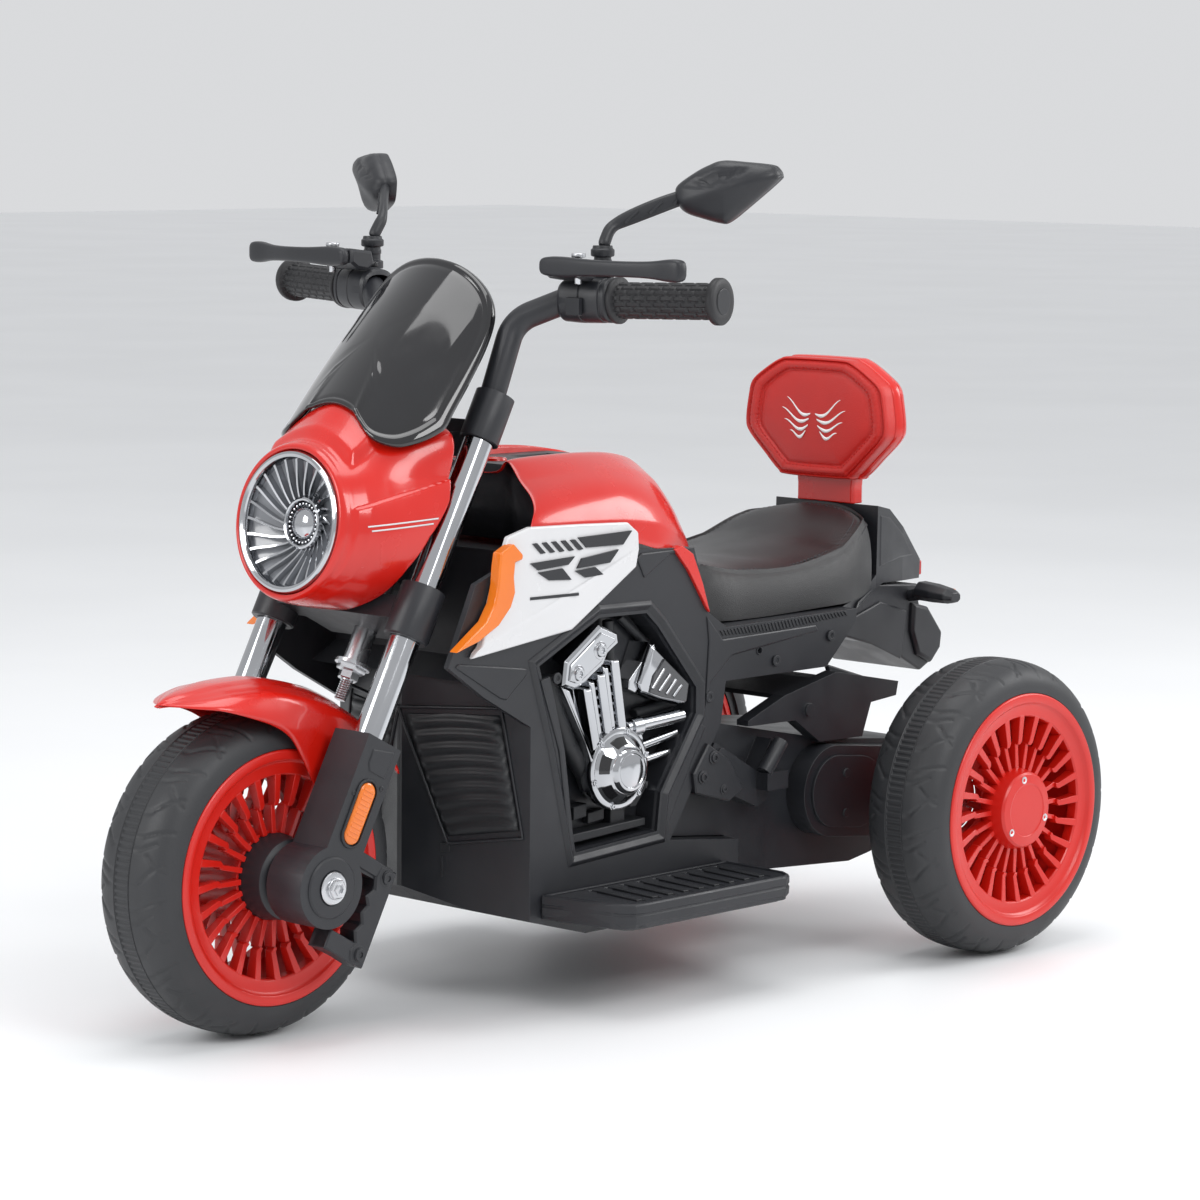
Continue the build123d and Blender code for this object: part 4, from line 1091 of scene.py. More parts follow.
def make_mirrors():
    outline = closed_curve(MIRROR_HALF, 8)
    rings = [(0.93, -7.4), (0.96, -8.4), (0.985, -8.2), (1.0, -6.5), (1.005, -3), (1.0, 0),
             (0.985, 0.6), (0.985, 1.4), (1.0, 2.2), (0.985, 5.5), (0.93, 9), (0.82, 11.8),
             (0.66, 13.8), (0.5, 14.8), (0.34, 15.4), (0.18, 15.8), (0.02, 16)]
    for side, name in SIDES:
        points = []
        for share, out in rings:
            for u, v in outline:
                pu, pv = (u + 2) * share - 2, v * share
                ridge = 2.4 * math.exp(-((pv - 2 - 0.3 * pu) / 7) ** 2) * step(2, 9, out)
                slot_line = pv - 9.5 - 0.28 * pu
                slot = 2.2 * step(0, 1.2, slot_line) * step(0, 1.2, 5.5 - slot_line) \
                    * step(-36, -31, pu) * (1 - step(14, 20, pu)) * step(6, 11, out)
                points.append(mirror_point(pu, pv, out + ridge - slot, side))
        faces = ring_faces(len(rings), len(outline), False, True)
        head = new_piece(f"mirror_head_{name}", points, faces, BLACK, f"{name}_mirror", (), 55)
        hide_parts(f"mirror_{name}")
        glass = []
        for share, out in ((0.5, -6.8), (0.8, -6.8), (0.94, -6.8)):
            glass += [mirror_point((u + 2) * share - 2, v * share, out, side) for u, v in outline]
        shell(new_piece(f"mirror_foil_{name}", glass, ring_faces(3, len(outline)),
                        MIRROR, f"{name}_mirror", [f"mirror_glass_{name}"]), 0.8, 0)
        base = turned_z([(0.05, -19.5), (9.6, -19.5), (9.6, -13), (7.2, -12), (7.2, -7), (7.8, -6.4),
                         (7.8, -3), (7.2, -2.4), (7.2, -0.6), (9.5, 0), (10, 1), (10, 5.6),
                         (8.6, 6.6), (8.2, 9), (0.05, 9)], (81, side * 140.5, 641.2))
        stem = [((81, 140.5, 648), 6.2, 6.2), ((76, 139.8, 657), 5.6, 5.6), ((71, 139, 664.5),
                                                                             6.2, 6),
                ((65, 144, 669.5), 6.6, 4.6), ((52, 157, 677.5), 7.4, 4.4),
                ((38, 171, 685.5), 7.6, 4.4), ((27, 182, 691), 6.8, 4.8), ((17, 190, 693.5), 7.6, 6)]
        arm = sweep([(Vector(at), wide, thick) for at, wide, thick in stem], side)
        piece = new_piece(f"mirror_arm_{name}", *arm, BLACK, f"{name}_mirror", (), 40)
        subdivided(piece, 2)
        slots = []
        for k in range(3):
            at = Vector((61 - 14.5 * k, 148 + 14.2 * k, 672.6 + 7.9 * k))
            slots.append(rod_mesh((at.x + 4.2, side * (at.y + 3.2), at.z - 3.2),
                                  (at.x - 4.5, side * (at.y + 10), at.z + 6.5), 1.0, 8))
        new_piece(f"mirror_arm_ribs_{name}", *joined(*slots), BLACK, f"{name}_mirror")
        round_edges(new_piece(f"mirror_base_{name}", *base, BLACK, f"{name}_mirror"), 0.4)


def turned_z(profile, centre, segments=48):
    points = []
    for i in range(segments):
        angle = 2 * math.pi * i / segments
        points += [(centre[0] + r * math.cos(angle), centre[1] + r * math.sin(angle), centre[2] + z)
                   for r, z in profile]
    return points, grid_faces(segments, len(profile), True, True)


def sweep(stations, side):
    """An oval bar through the stations (point, half height, half thickness)."""
    points, count = [], len(stations)
    for i, (at, wide, thick) in enumerate(stations):
        before, after = stations[max(i - 1, 0)][0], stations[min(i + 1, count - 1)][0]
        along = (after - before).normalized()
        flat = MIRROR_OUT if i > 2 else Vector((1, 0, 0.3))
        flat = (flat - along * flat.dot(along)).normalized()
        tall = along.cross(flat).normalized()
        for k in range(8):
            angle = 2 * math.pi * k / 8
            point = at + tall * (wide * math.cos(angle)) + flat * (thick * math.sin(angle))
            points.append((point.x, side * point.y, point.z))
    return points, bar_faces(count, 8)


def make_bulkhead():
    front = [(x, -y, z) for x, y, z in reversed(TANK_CAGE[0][2:])] + TANK_CAGE[0][2:]
    points = []
    for drop in (0, 1):
        for x, y, z in front:
            points.append((x - 5, y * 0.985, 397.5 if drop else z - 2.4))
    shell(new_piece("tank_front_wall", points, grid_faces(2, len(front)), BLACK, "chassis"), 1.6, 0)


make_seat()
make_backrest()
make_fender()
make_grips()
make_levers()
make_mirrors()
make_bulkhead()


# ---- engine dress-up parts -----------------------------------------------------------
def offset_outline(points, distance):
    """Outline moved outwards by a distance, with mitred corners (points run either way)."""
    area = sum(a[0] * b[1] - b[0] * a[1] for a, b in zip(points, points[1:] + points[:1]))
    turn = 1 if area > 0 else -1
    moved = []
    for i, point in enumerate(points):
        before, after = points[i - 1], points[(i + 1) % len(points)]
        a = Vector((point[0] - before[0], point[1] - before[1])).normalized()
        b = Vector((after[0] - point[0], after[1] - point[1])).normalized()
        normal_a, normal_b = Vector((a.y, -a.x)) * turn, Vector((b.y, -b.x)) * turn
        middle = (normal_a + normal_b).normalized()
        reach = distance / max(0.35, middle.dot(normal_a))
        moved.append((point[0] + middle.x * reach, point[1] + middle.y * reach))
    return moved


def sided(part, sign):
    points, faces = part
    return (points if sign > 0 else mirror_points(points)), faces


def layered(outline, layers):
    """A closed piece from an (x, z) outline: layers of (y, outward offset)."""
    points = []
    for y, distance in layers:
        ring = offset_outline(outline, distance) if distance else outline
        points += [(x, y, z) for x, z in ring]
    return points, bar_faces(len(layers), len(outline))


def bolt(x, y, z, radius, high):
    """A socket-head bolt standing out along Y, with a flange."""
    head = turned([(0.05, 0), (radius * 1.45, 0), (radius * 1.45, high * 0.3),
                   (radius * 1.05, high * 0.42), (radius, high * 0.9), (radius * 0.9, high),
                   (radius * 0.5, high), (radius * 0.45, high * 0.6), (0.05, high * 0.6)],
                  (x, y, z), 32)
    return head


CYLINDER_HEAD = [(61, 327), (38, 318), (36, 308), (50, 300), (55, 291), (79, 277), (92, 273),
                 (106, 278), (103, 299)]
CRANK_AT = (33.0, 0.0, 199.0)
AIR_BOX = [(-8, 304), (-22, 293), (-56, 266), (-53, 246), (-20, 254), (4, 262), (8, 270)]


def make_engine(sign, side):
    head = layered(CYLINDER_HEAD, [(92, -1), (116, -0.5), (120.5, -0.5), (122.5, -2.6)])
    rim = layered(offset_outline(CYLINDER_HEAD, -6), [(120, 0), (123.4, 0), (124, -0.8)])
    bolts = joined(bolt(62, 123, 305, 5.4, 4.2), bolt(89, 123, 287, 5.4, 4.2))
    web = prism([(78, 281), (54, 298), (42, 300), (28, 236), (60, 212), (72, 240)], 92, 106)
    bars = []
    for k in range(5):
        t = k / 4
        top_x, top_z = 72 - 34 * t, 272 + 22 * t
        low_x, low_z = 58 - 31 * t, 213 + 18 * t
        wide = 3.2 if k % 2 else 4.6
        out = 116.5 if k % 2 else 120
        bars.append(layered([(top_x - wide, top_z), (top_x + wide, top_z), (low_x + wide, low_z),
                             (low_x - wide, low_z)], [(104, 0), (out - 1.6, 0), (out, -1.4)]))
    for k in range(7):
        t = (k + 0.5) / 7
        x0, x1, z0, z1 = 70 - 12 * t, 38 - 21 * t, 268 - 52 * t, 290 - 56 * t
        bars.append(prism([(x0, z0), (x0, z0 - 3), (x1, z1 - 3), (x1, z1)], 104, 114.5))
    strip = layered([(105, 277), (95, 273), (67, 213), (61, 207), (66, 205), (75, 226)],
                    [(96, 0), (119.5, 0), (120.5, -0.9)])
    parts = joined(head, rim, bolts, web, strip, *bars)
    nodes = [f"engine_cover_{side}"]
    cylinder = new_piece(f"engine_cylinder_{side}", *sided(parts, sign), CHROME, "chassis", nodes)
    round_edges(cylinder, 0.7, 3)
    ring = turned([(0.05, 96), (30, 96), (33.5, 104), (36, 114), (36.5, 118), (35.6, 120.4),
                   (33.6, 121.2), (31, 121.0), (29.6, 122.4), (21.5, 131), (20.2, 131.4),
                   (19.4, 133.6), (17.6, 135.6), (15.5, 136), (14.6, 135.2), (13.5, 135.6),
                   (7, 136.6), (0.05, 137)], CRANK_AT, 96)
    panels = []
    for k in range(6):
        rows = []
        for r, y in ((28.8, 123.8), (22.4, 130.6), (22.4, 128), (28.8, 121.2)):
            for step_angle in range(-18, 19, 6):
                angle = math.radians(15 + 60 * k + step_angle)
                rows.append((CRANK_AT[0] + r * math.cos(angle),
                             y, CRANK_AT[2] + r * math.sin(angle)))
        panels.append((rows, grid_faces(4, 7, True) + [(0, 7, 14, 21), (6, 13, 20, 27)]))
    rim_bolts = [bolt(CRANK_AT[0] + 33.2 * math.cos(math.radians(45 + 60 * k)), 120.4,
                      CRANK_AT[2] + 33.2 * math.sin(math.radians(45 + 60 * k)), 2.2, 2.2)
                 for k in range(6)]
    crank = joined(ring, *rim_bolts)
    round_edges(new_piece(f"engine_crank_{side}", *sided(crank, sign), CHROME, "chassis"), 0.4)
    part = sided(joined(*panels), sign)
    dark = new_piece(f"engine_windows_{side}", *part, GLOSS_BLACK, "chassis")
    round_edges(dark, 0.6)
    pipes = joined(rod_mesh((18, 112, 232), (-54, 112, 236), 6.2, 32),
                   rod_mesh((12, 112, 231.8), (0, 112, 232.5), 8.4, 32),
                   rod_mesh((-53, 112, 236), (-55.5, 112, 236.2), 4.6, 32),
                   rod_mesh((0, 106, 212), (-53, 106, 220), 4.2, 24),
                   rod_mesh((0, 106, 199), (-45, 106, 204), 3.6, 24),
                   prism([(14, 226), (-12, 224), (-16, 214), (-8, 208), (-22, 206), (-20, 196),
                          (-6, 196), (-10, 182), (-22, 180), (-20, 174), (10, 172)], 92, 104))
    round_edges(new_piece(f"engine_pipes_{side}", *sided(pipes, sign), CHROME, "chassis"), 0.6, 3)
    box = layered(AIR_BOX, [(92, 1), (114, 1), (119, -1.2), (120, -3)])
    face = prism([(16, 274), (17, 266), (8, 262), (2, 268), (-18, 298), (-15, 303)], 96, 115)
    nodes = ["air_boxes"] if sign > 0 else []
    shiny = new_piece(f"air_box_{side}", *sided(joined(box, face), sign), CHROME, "chassis", nodes)
    round_edges(shiny, 1.2, 3)
    plate = layered([(-22, 290), (-54, 265), (-51, 249), (-21, 256), (-3, 262), (-8, 276)],
                    [(118, 0), (120.8, 0), (121.4, -0.8)])
    round_edges(new_piece(f"air_plate_{side}", *sided(plate, sign), SMOKED, "chassis"), 0.5)
    slots = []
    for x0, z0, x1, z1 in ((-21, 281, -6, 265), (-29, 275.5, -15, 262), (-36.5, 270, -24, 258.5),
                           (-43.5, 264.5, -33, 255.5)):
        slots.append(rod_mesh((x0, 121.2, z0), (x1, 121.2, z1), 1.9, 12))
    part = sided(joined(*slots), sign)
    round_edges(new_piece(f"air_slots_{side}", *part, CHROME, "chassis"), 0.8)


# ---- body trim -----------------------------------------------------------------------
RECESS = [(57, 332), (130, 297), (107, 224), (84, 132), (-18, 138), (-22, 172), (-67, 237),
          (-67, 260), (-17, 318), (-2, 331)]


def make_recess(sign, side):
    """The chamfered lip round the engine recess and the mouldings inside it."""
    rings = [(117.2, 12), (118.6, 11.2), (120.6, 8.5), (121, 7.2), (116.4, 0.6), (112, -1.0),
             (93, -1.2)]
    points = []
    for y, distance in rings:
        points += [(x, y, z) for x, z in offset_outline(RECESS, distance)]
    lip = (points, grid_faces(len(rings), len(RECESS), False, True))
    round_edges(new_piece(f"recess_lip_{side}", *sided(lip, sign), BLACK, "chassis"), 1.6, 3, 8)
    tube = [(122, 112), (113, 289), (102, 256), (87, 226), (66, 200), (60, 186)]
    header = joined(*[rod_mesh((a[0] - 6, 104, a[1] - 3), (b[0] - 6, 104, b[1] - 3), 8.5, 24, 8.5)
                      for a, b in zip(tube[1:], tube[2:])],
                    *[ball((x - 6, 104, z - 3), 8.5) for x, z in tube[2:-1]])
    struts = joined(rod_mesh((28, 100, 326), (24, 100, 262), 5, 20),
                    rod_mesh((12, 98, 328), (-24, 98, 300), 4, 20),
                    rod_mesh((-8, 98, 240), (-60, 98, 246), 5, 20),
                    prism([(72, 168), (56, 170), (56, 158), (72, 156)], 92, 104),
                    prism([(50, 160), (30, 162), (30, 152), (50, 150)], 92, 100),
                    prism([(24, 160), (6, 162), (6, 148), (24, 146)], 92, 102),
                    prism([(80, 146), (-12, 150), (-12, 143), (80, 138)], 92, 110),
                    prism([(0, 186), (-12, 188), (-18, 176), (-4, 160), (4, 160)], 92, 106))
    round_edges(new_piece(f"recess_mouldings_{side}", *sided(joined(header, struts), sign),
                          BLACK_SOFT, "chassis"), 1.2, 3)


def ball(centre, radius, segments=24):
    profile = [(max(0.02, radius * math.cos(math.radians(a))), radius * math.sin(math.radians(a)))
               for a in range(-90, 91, 15)]
    points = []
    for i in range(segments):
        angle = 2 * math.pi * i / segments
        points += [(centre[0] + r * math.cos(angle), centre[1] + h, centre[2] + r * math.sin(angle))
                   for r, h in profile]
    return points, grid_faces(segments, len(profile), True, True)


def nose_point(share, z, out, sign):
    """A point over the slanting nose face: share runs from the middle to the side plane."""
    normal = Vector((118.0, 41.0, 0)).normalized()
    return 181 - 41 * share + normal.x * out, sign * (118 * share + normal.y * out), z


def make_nose(sign, side):
    frame_rows, rows, columns = [], 72, 13
    points = []
    for i in range(rows + 1):
        t = i / rows
        left, right = 0.39 - 0.345 * t ** 0.8, 0.925 - 0.155 * t
        z_left, z_right = 147 + 103 * t, 157 + 97 * t
        wave = 1.5 * math.sin(t * math.pi * 18) * step(0, 0.04, t) * step(0, 0.04, 1 - t)
        for j in range(columns):
            u = j / (columns - 1)
            edge = step(0, 0.1, u) * step(0, 0.1, 1 - u) * step(0, 0.03, t) * step(0, 0.03, 1 - t)
            share = left + (right - left) * u
            z = z_left + (z_right - z_left) * u + 3.0 * math.sin(math.pi * u) * edge
            points.append(nose_point(share, z, 0.25 + (1.9 + wave) * edge, sign))
    panel = new_piece(f"nose_ribs_{side}", points, grid_faces(rows + 1, columns), BLACK_SOFT,
                      "chassis", (), 60)
    shell(panel, 0.8, 0)
    corners = [(0.385, 142), (0.935, 152), (0.775, 259), (0.012, 254)]
    border = []
    for k in range(4):
        (s0, z0), (s1, z1) = corners[k], corners[(k + 1) % 4]
        for t in range(8):
            border.append((s0 + (s1 - s0) * t / 8, z0 + (z1 - z0) * t / 8))
    for grow, out in ((0.0, 0.1), (0.012, 1.6), (0.03, 1.9), (0.045, 1.6), (0.058, 0.1)):
        for share, z in border:
            mid_s, mid_z = 0.53, 200
            frame_rows.append(nose_point(mid_s + (share - mid_s) * (1 + grow),
                                         mid_z + (z - mid_z) * (1 + grow * 0.8), out, sign))
    faces = grid_faces(5, len(border), False, True)
    edge_piece = new_piece(f"nose_frame_{side}", frame_rows, faces, BLACK, "chassis", (), 60)
    shell(edge_piece, 0.5, 0)
    small = []
    for share, z, half_s, half_z in ((0.36, 137, 0.035, 4.0), (0.335, 120, 0.006, 9)):
        face = [nose_point(share + a * half_s, z + b * half_z, 0.9, sign)
                for a, b in ((-1, -1), (1, -1), (1, 1), (-1, 1))]
        back = [nose_point(share + a * half_s, z + b * half_z, -1, sign)
                for a, b in ((-1, -1), (1, -1), (1, 1), (-1, 1))]
        small.append((face + back, BOX_FACES))
    round_edges(new_piece(f"nose_seam_{side}", *joined(*small), BLACK_SOFT, "chassis"), 0.4)


def make_side_trim(sign, side):
    """Slanted weave strip below the saddle, and the raised facets of the side shell."""
    weave = []
    for k in range(38):
        x = -97 - 4.55 * k
        top = 307.6 - (x + 97) * 0.018
        drop = 7.5 - 4.0 * abs(k - 16) / 24
        weave.append(prism([(x, top), (x - 2.7, top), (x - 6.2, top - drop), (x - 3.5, top - drop)],
                           sign * 117.8, sign * 118.9))
    round_edges(new_piece(f"weave_strip_{side}", *joined(*weave), BLACK_SOFT, "chassis"), 0.4)
    facets = [[(-64, 384), (-30, 380), (2, 362), (12, 380), (6, 384)],
              [(-79, 322), (-100, 300), (-226, 302), (-230, 296), (-112, 284), (-84, 262),
               (-78, 240), (-82, 300)],
              [(-72, 228), (-79, 224), (-40, 158), (-30, 136), (-25, 136), (-27, 172)],
              [(146, 291), (170, 272), (177, 274), (230, 305), (226, 308), (146, 297)],
              [(118, 288), (99, 222), (86, 134), (92, 131), (106, 222), (130, 286)]]
    for number, outline in enumerate(facets):
        piece = layered(outline, [(117.4, 0), (118.9, -0.2), (119.6, -1.4)])
        round_edges(new_piece(f"side_facet_{number}_{side}", *sided(piece, sign), BLACK, "chassis"),
                    0.7, 3, 12)


# ---- fork and steering trim ----------------------------------------------------------
RAKE = math.radians(27.8)
FRONT_AXLE = (353.6, 0, 135)
FORK_Y = 82
STEM_AT = (-30, 0, 0)


def fork_point(x, y, z):
    return (FRONT_AXLE[0] + x * math.cos(RAKE) - z * math.sin(RAKE), y,
            FRONT_AXLE[2] + x * math.sin(RAKE) + z * math.cos(RAKE))


def on_fork(part):
    points, faces = part
    return [fork_point(*point) for point in points], faces


def fork_turned(profile, x, y, segments=64):
    """A (radius, height) profile turned about a line up the fork."""
    return on_fork(turned_z(profile, (x, y, 0), segments))


def make_fork():
    tubes = [fork_turned([(0.05, 112), (12.9, 112), (12.9, 397), (0.05, 397)], 0, side * FORK_Y, 96)
             for side in (1, -1)]
    new_piece("fork_chrome", *joined(*tubes), CHROME, "steering", ["fork_tubes"])
    collars = []
    for side in (1, -1):
        collars.append(fork_turned([(13.3, 217), (17.6, 217), (18.8, 218.4), (18.8, 228),
                                    (18.2, 228.8),
                                    (18.2, 231), (18.8, 231.8), (18.8, 255), (18.0, 256),
                                    (18.0, 258),
                                    (18.8, 259), (18.8, 262), (17.4, 263.4), (13.3, 263.4)], 0,
                                   side * FORK_Y))
        collars.append(fork_turned([(13.3, 397.8), (16.0, 397.8), (16.9, 399), (16.9, 409),
                                    (15.4, 410),
                                    (15.4, 414), (16.9, 415), (16.9, 428), (15.6, 429.5),
                                    (15.6, 434), (16.4, 435), (16.4, 439), (14.8, 440.5),
                                    (13.3, 440.5)], 0, side * FORK_Y))
    round_edges(new_piece("fork_collars", *joined(*collars), BLACK, "steering"), 0.3)
    nut = on_fork(joined(turned_z([(0.05, 184), (8.2, 184), (9, 185), (9, 191), (12.8, 192),
                                   (13.4, 194),
                                   (13.4, 196.6), (0.05, 197)], STEM_AT, 6),
                         turned_z([(0.05, 196.5), (15.6, 196.5), (15.6, 199.4), (0.05, 199.4)],
                                  STEM_AT, 48),
                         turned_z([(0.05, 166), (4.6, 166), (5.4, 167)]
                                  + [(5.4 if k % 2 else 4.6, 168 + k) for k in range(16)]
                                  + [(5.4, 184.5), (0.05, 184.5)], STEM_AT, 32),
                         turned_z([(0.05, 199), (9.9, 199), (9.9, 409), (0.05, 409)], STEM_AT, 48)))
    round_edges(new_piece("stem_bolt", *nut, STEEL, "steering", ["steering_stem"]), 0.4)
    for side, name in SIDES:
        frame_outline = [(9.8 * math.cos(math.radians(a)), (83 if a <= 180 else 47)
                          + 9.8 * math.sin(math.radians(a))) for a in range(0, 360, 12)]
        frame_part = layered(frame_outline, [(102.2, 2.2), (104.0, 2.0), (104.8, 1.2), (104.8, 0.2),
                                             (102.4, -0.4)])
        boss = turned([(14, 101), (25, 101), (25.5, 103.4), (24, 104.8), (15, 105.2), (14.2, 104.6)],
                      (0, 0, 0), 64)
        grip_part = layered([(-13, 112), (-13, 100), (6, 100), (10, 106), (10, 118), (-13, 124)],
                            [(101, 0), (103.2, 0), (104, -0.9)])
        holes = joined(bolt(-14, 102.6, 92, 2.4, 1.2), bolt(13.5, 102.6, 78, 2.0, 1.0))
        trim = on_fork(joined(frame_part, boss, grip_part, holes))
        round_edges(new_piece(f"fork_trim_{name}", *sided(trim, side), BLACK, "steering"), 0.5, 3)
        lens = layered([(8.6 * math.cos(math.radians(a)), (83 if a <= 180 else 47)
                         + 8.6 * math.sin(math.radians(a))) for a in range(0, 360, 12)],
                       [(101.6, 0), (104.0, 0), (104.9, -1.0), (105.2, -2.4)])
        ribs = [prism([(-6, 44 + 4 * k), (6, 44 + 4 * k), (6, 46 + 4 * k), (-6, 46 + 4 * k)],
                      104.6, 105.7) for k in range(11)]
        nodes = ["fork_reflectors"] if side > 0 else []
        lens = on_fork(joined(lens, *ribs))
        piece = new_piece(f"fork_lens_{name}", *sided(lens, side), AMBER, "steering", nodes)
        round_edges(piece, 0.4)
        caliper = on_fork(joined(
            layered([(-66, 36), (-66, -46), (-50, -46), (-46, -38), (-50, -30), (-45, -22),
                     (-50, -14),
                     (-45, -6), (-49, 2), (-44, 8), (-50, 16), (-46, 26), (-48, 36)],
                    [(82, 1), (98.5, 1), (100.6, -0.6)]),
            layered([(-62, 38), (-19, 40), (-19, 27), (-62, 25)], [(84, 0), (98.6, 0), (99.8, -1)]),
            layered([(-62, -31), (-19, -29), (-19, -45), (-58, -48)], [(84, 0), (98.6, 0),
                                                                       (99.8, -1)]),
            bolt(-57, 99.8, 29, 5.2, 3.2), bolt(-57, 99.8, -38, 5.2, 3.2)))
        piece = new_piece(f"fork_caliper_{name}", *sided(caliper, side), BLACK, "steering")
        round_edges(piece, 0.8, 3)
        nut_y = 105.2
        washer = turned([(6.3, nut_y), (13.4, nut_y), (13.6, nut_y + 0.8), (12.8, nut_y + 1.7),
                         (9.5, nut_y + 2.4), (6.3, nut_y + 2.4)], FRONT_AXLE, 48)
        hexagon = turned([(6.3, nut_y + 2), (8.8, nut_y + 2), (8.8, nut_y + 6), (7.8, nut_y + 7),
                          (5.4, nut_y + 7.2), (5.2, nut_y + 8.4), (3.4, nut_y + 8.8),
                          (3.2, nut_y + 6),
                          (0.05, nut_y + 6), (0.05, nut_y)], FRONT_AXLE, 6)
        part = sided(joined(washer, hexagon), side)
        round_edges(new_piece(f"axle_nut_{name}", *part, STEEL, "steering"), 0.4)


def make_switches():
    for side, name in SIDES:
        stations = [(-47, 13.5), (-46, 16.5), (-43, 18.6), (-30, 19.6), (-24.6, 19.7), (-24.2, 18.9),
                    (-23.4, 18.9), (-23.0, 19.7), (-8, 19.6), (-5.6, 19.2), (-5.2, 18.2),
                    (-3.6, 18.2),
                    (-3.2, 19.4), (0.2, 19.4), (1.4, 18.6), (2.4, 17.6), (2.4, 13)]
        segments, points = 72, []
        for i in range(segments):
            angle = 2 * math.pi * i / segments
            square = (abs(math.cos(angle)) ** 3.2 + abs(math.sin(angle)) ** 3.2) ** (-1 / 3.2)
            for distance, radius in stations:
                points.append(on_bar(distance, radius * (0.35 + 0.65 * square) * 0.97, angle, side))
        nodes = ["switch_housings"] if side > 0 else []
        body = (points, grid_faces(segments, len(stations), True, True))
        round_edges(new_piece(f"switch_body_{name}", *body, BLACK, "steering", nodes, 40), 0.4)
        bracket = [(98, 626), (102, 640), (128, 643), (131, 640), (131, 627), (122, 621), (108, 619)]
        points = []
        for y, distance in ((116, -2.5), (118, 0), (154, 0), (157, -2.5)):
            points += [(x, side * y, z) for x, z in offset_outline(bracket, distance - 2.2)]
        piece = new_piece(f"lever_bracket_{name}", points, bar_faces(4, 7), BLACK, "steering")
        round_edges(piece, 1.2, 3)
        buttons = joined(rod_mesh((86, side * 136, 624), (86, side * 136, 627.5), 6, 24),
                         rod_mesh((86, side * 150, 624), (86, side * 150, 626.5), 4.5, 24))
        round_edges(new_piece(f"switch_caps_{name}", *buttons, GLOSS_BLACK, "steering"), 0.8, 3)


# ---- tail ----------------------------------------------------------------------------
def make_tail():
    holder = [(-438, 300), (-462, 294), (-484, 268), (-482, 252), (-468, 238), (-446, 248),
              (-436, 272)]
    points = []
    for y, distance in ((-60, -3), (-57, 0), (57, 0), (60, -3)):
        points += [(x, y, z) for x, z in offset_outline(holder, distance - 0.5)]
    faces = bar_faces(4, len(holder))
    round_edges(new_piece("plate_holder", points, faces, BLACK, "chassis"), 1.4, 3)
    for sign, side in SIDES:
        stations = [(-436, 56, 306, 5.5, 5), (-436, 66, 308, 6, 5.5), (-437, 70, 312, 9, 12),
                    (-437, 88, 311, 8.5, 13.5), (-438, 104, 309.5, 7, 11.5),
                    (-439, 110, 308.5, 4.5, 7)]
        points = []
        for x, y, z, high, deep in stations:
            for u, v in ((-1, -0.5), (-1, 0.5), (-0.4, 1), (0.5, 1), (1, 0.3), (1, -0.4), (0.4, -1),
                         (-0.5, -1)):
                points.append((x + deep * u, sign * y, z + high * v))
        rows = len(stations)
        faces = bar_faces(rows, 8)
        nodes = ["rear_turn_signals"] if sign > 0 else []
        stalk = new_piece(f"tail_signal_{side}", points, faces, BLACK, "chassis", nodes)
        round_edges(stalk, 1.2, 3, 15)
        lens = [(x - 13.4, sign * y, z) for x, y, z in
                ((-437, 74, 303.5), (-437, 74, 318), (-438, 100, 315), (-438, 100, 303.5))]
        lens = lens + [(x + 5, y, z) for x, y, z in lens]
        cover = new_piece(f"tail_signal_lens_{side}", lens, BOX_FACES, AMBER, "chassis")
        round_edges(cover, 1.0, 3)


for sign, side in SIDES:
    make_engine(sign, side)
    make_recess(sign, side)
    make_nose(sign, side)
    make_side_trim(sign, side)
make_fork()
make_switches()
make_tail()


# ---- power button, rear panel and tail details ---------------------------------------
POWER_AT = (66, 0, 454)


def make_power_button():
    cap = turned_z([(0.05, 3.6), (9.2, 3.6), (10, 4.4), (10, 7), (9.2, 8), (7.6, 8), (7.0, 7.3),
                    (0.05, 7.1)], POWER_AT, 64)
    new_piece("power_cap", *cap, RED, "power", ["power_button"], 40)
    bezel = turned_z([(10.8, -1), (14.5, -1), (14.5, 3.2), (13.4, 4.8), (11.8, 4.9), (10.8, 4.2)],
                     POWER_AT, 64)
    new_piece("power_bezel", *bezel, GLOSS_BLACK, "chassis", (), 40)


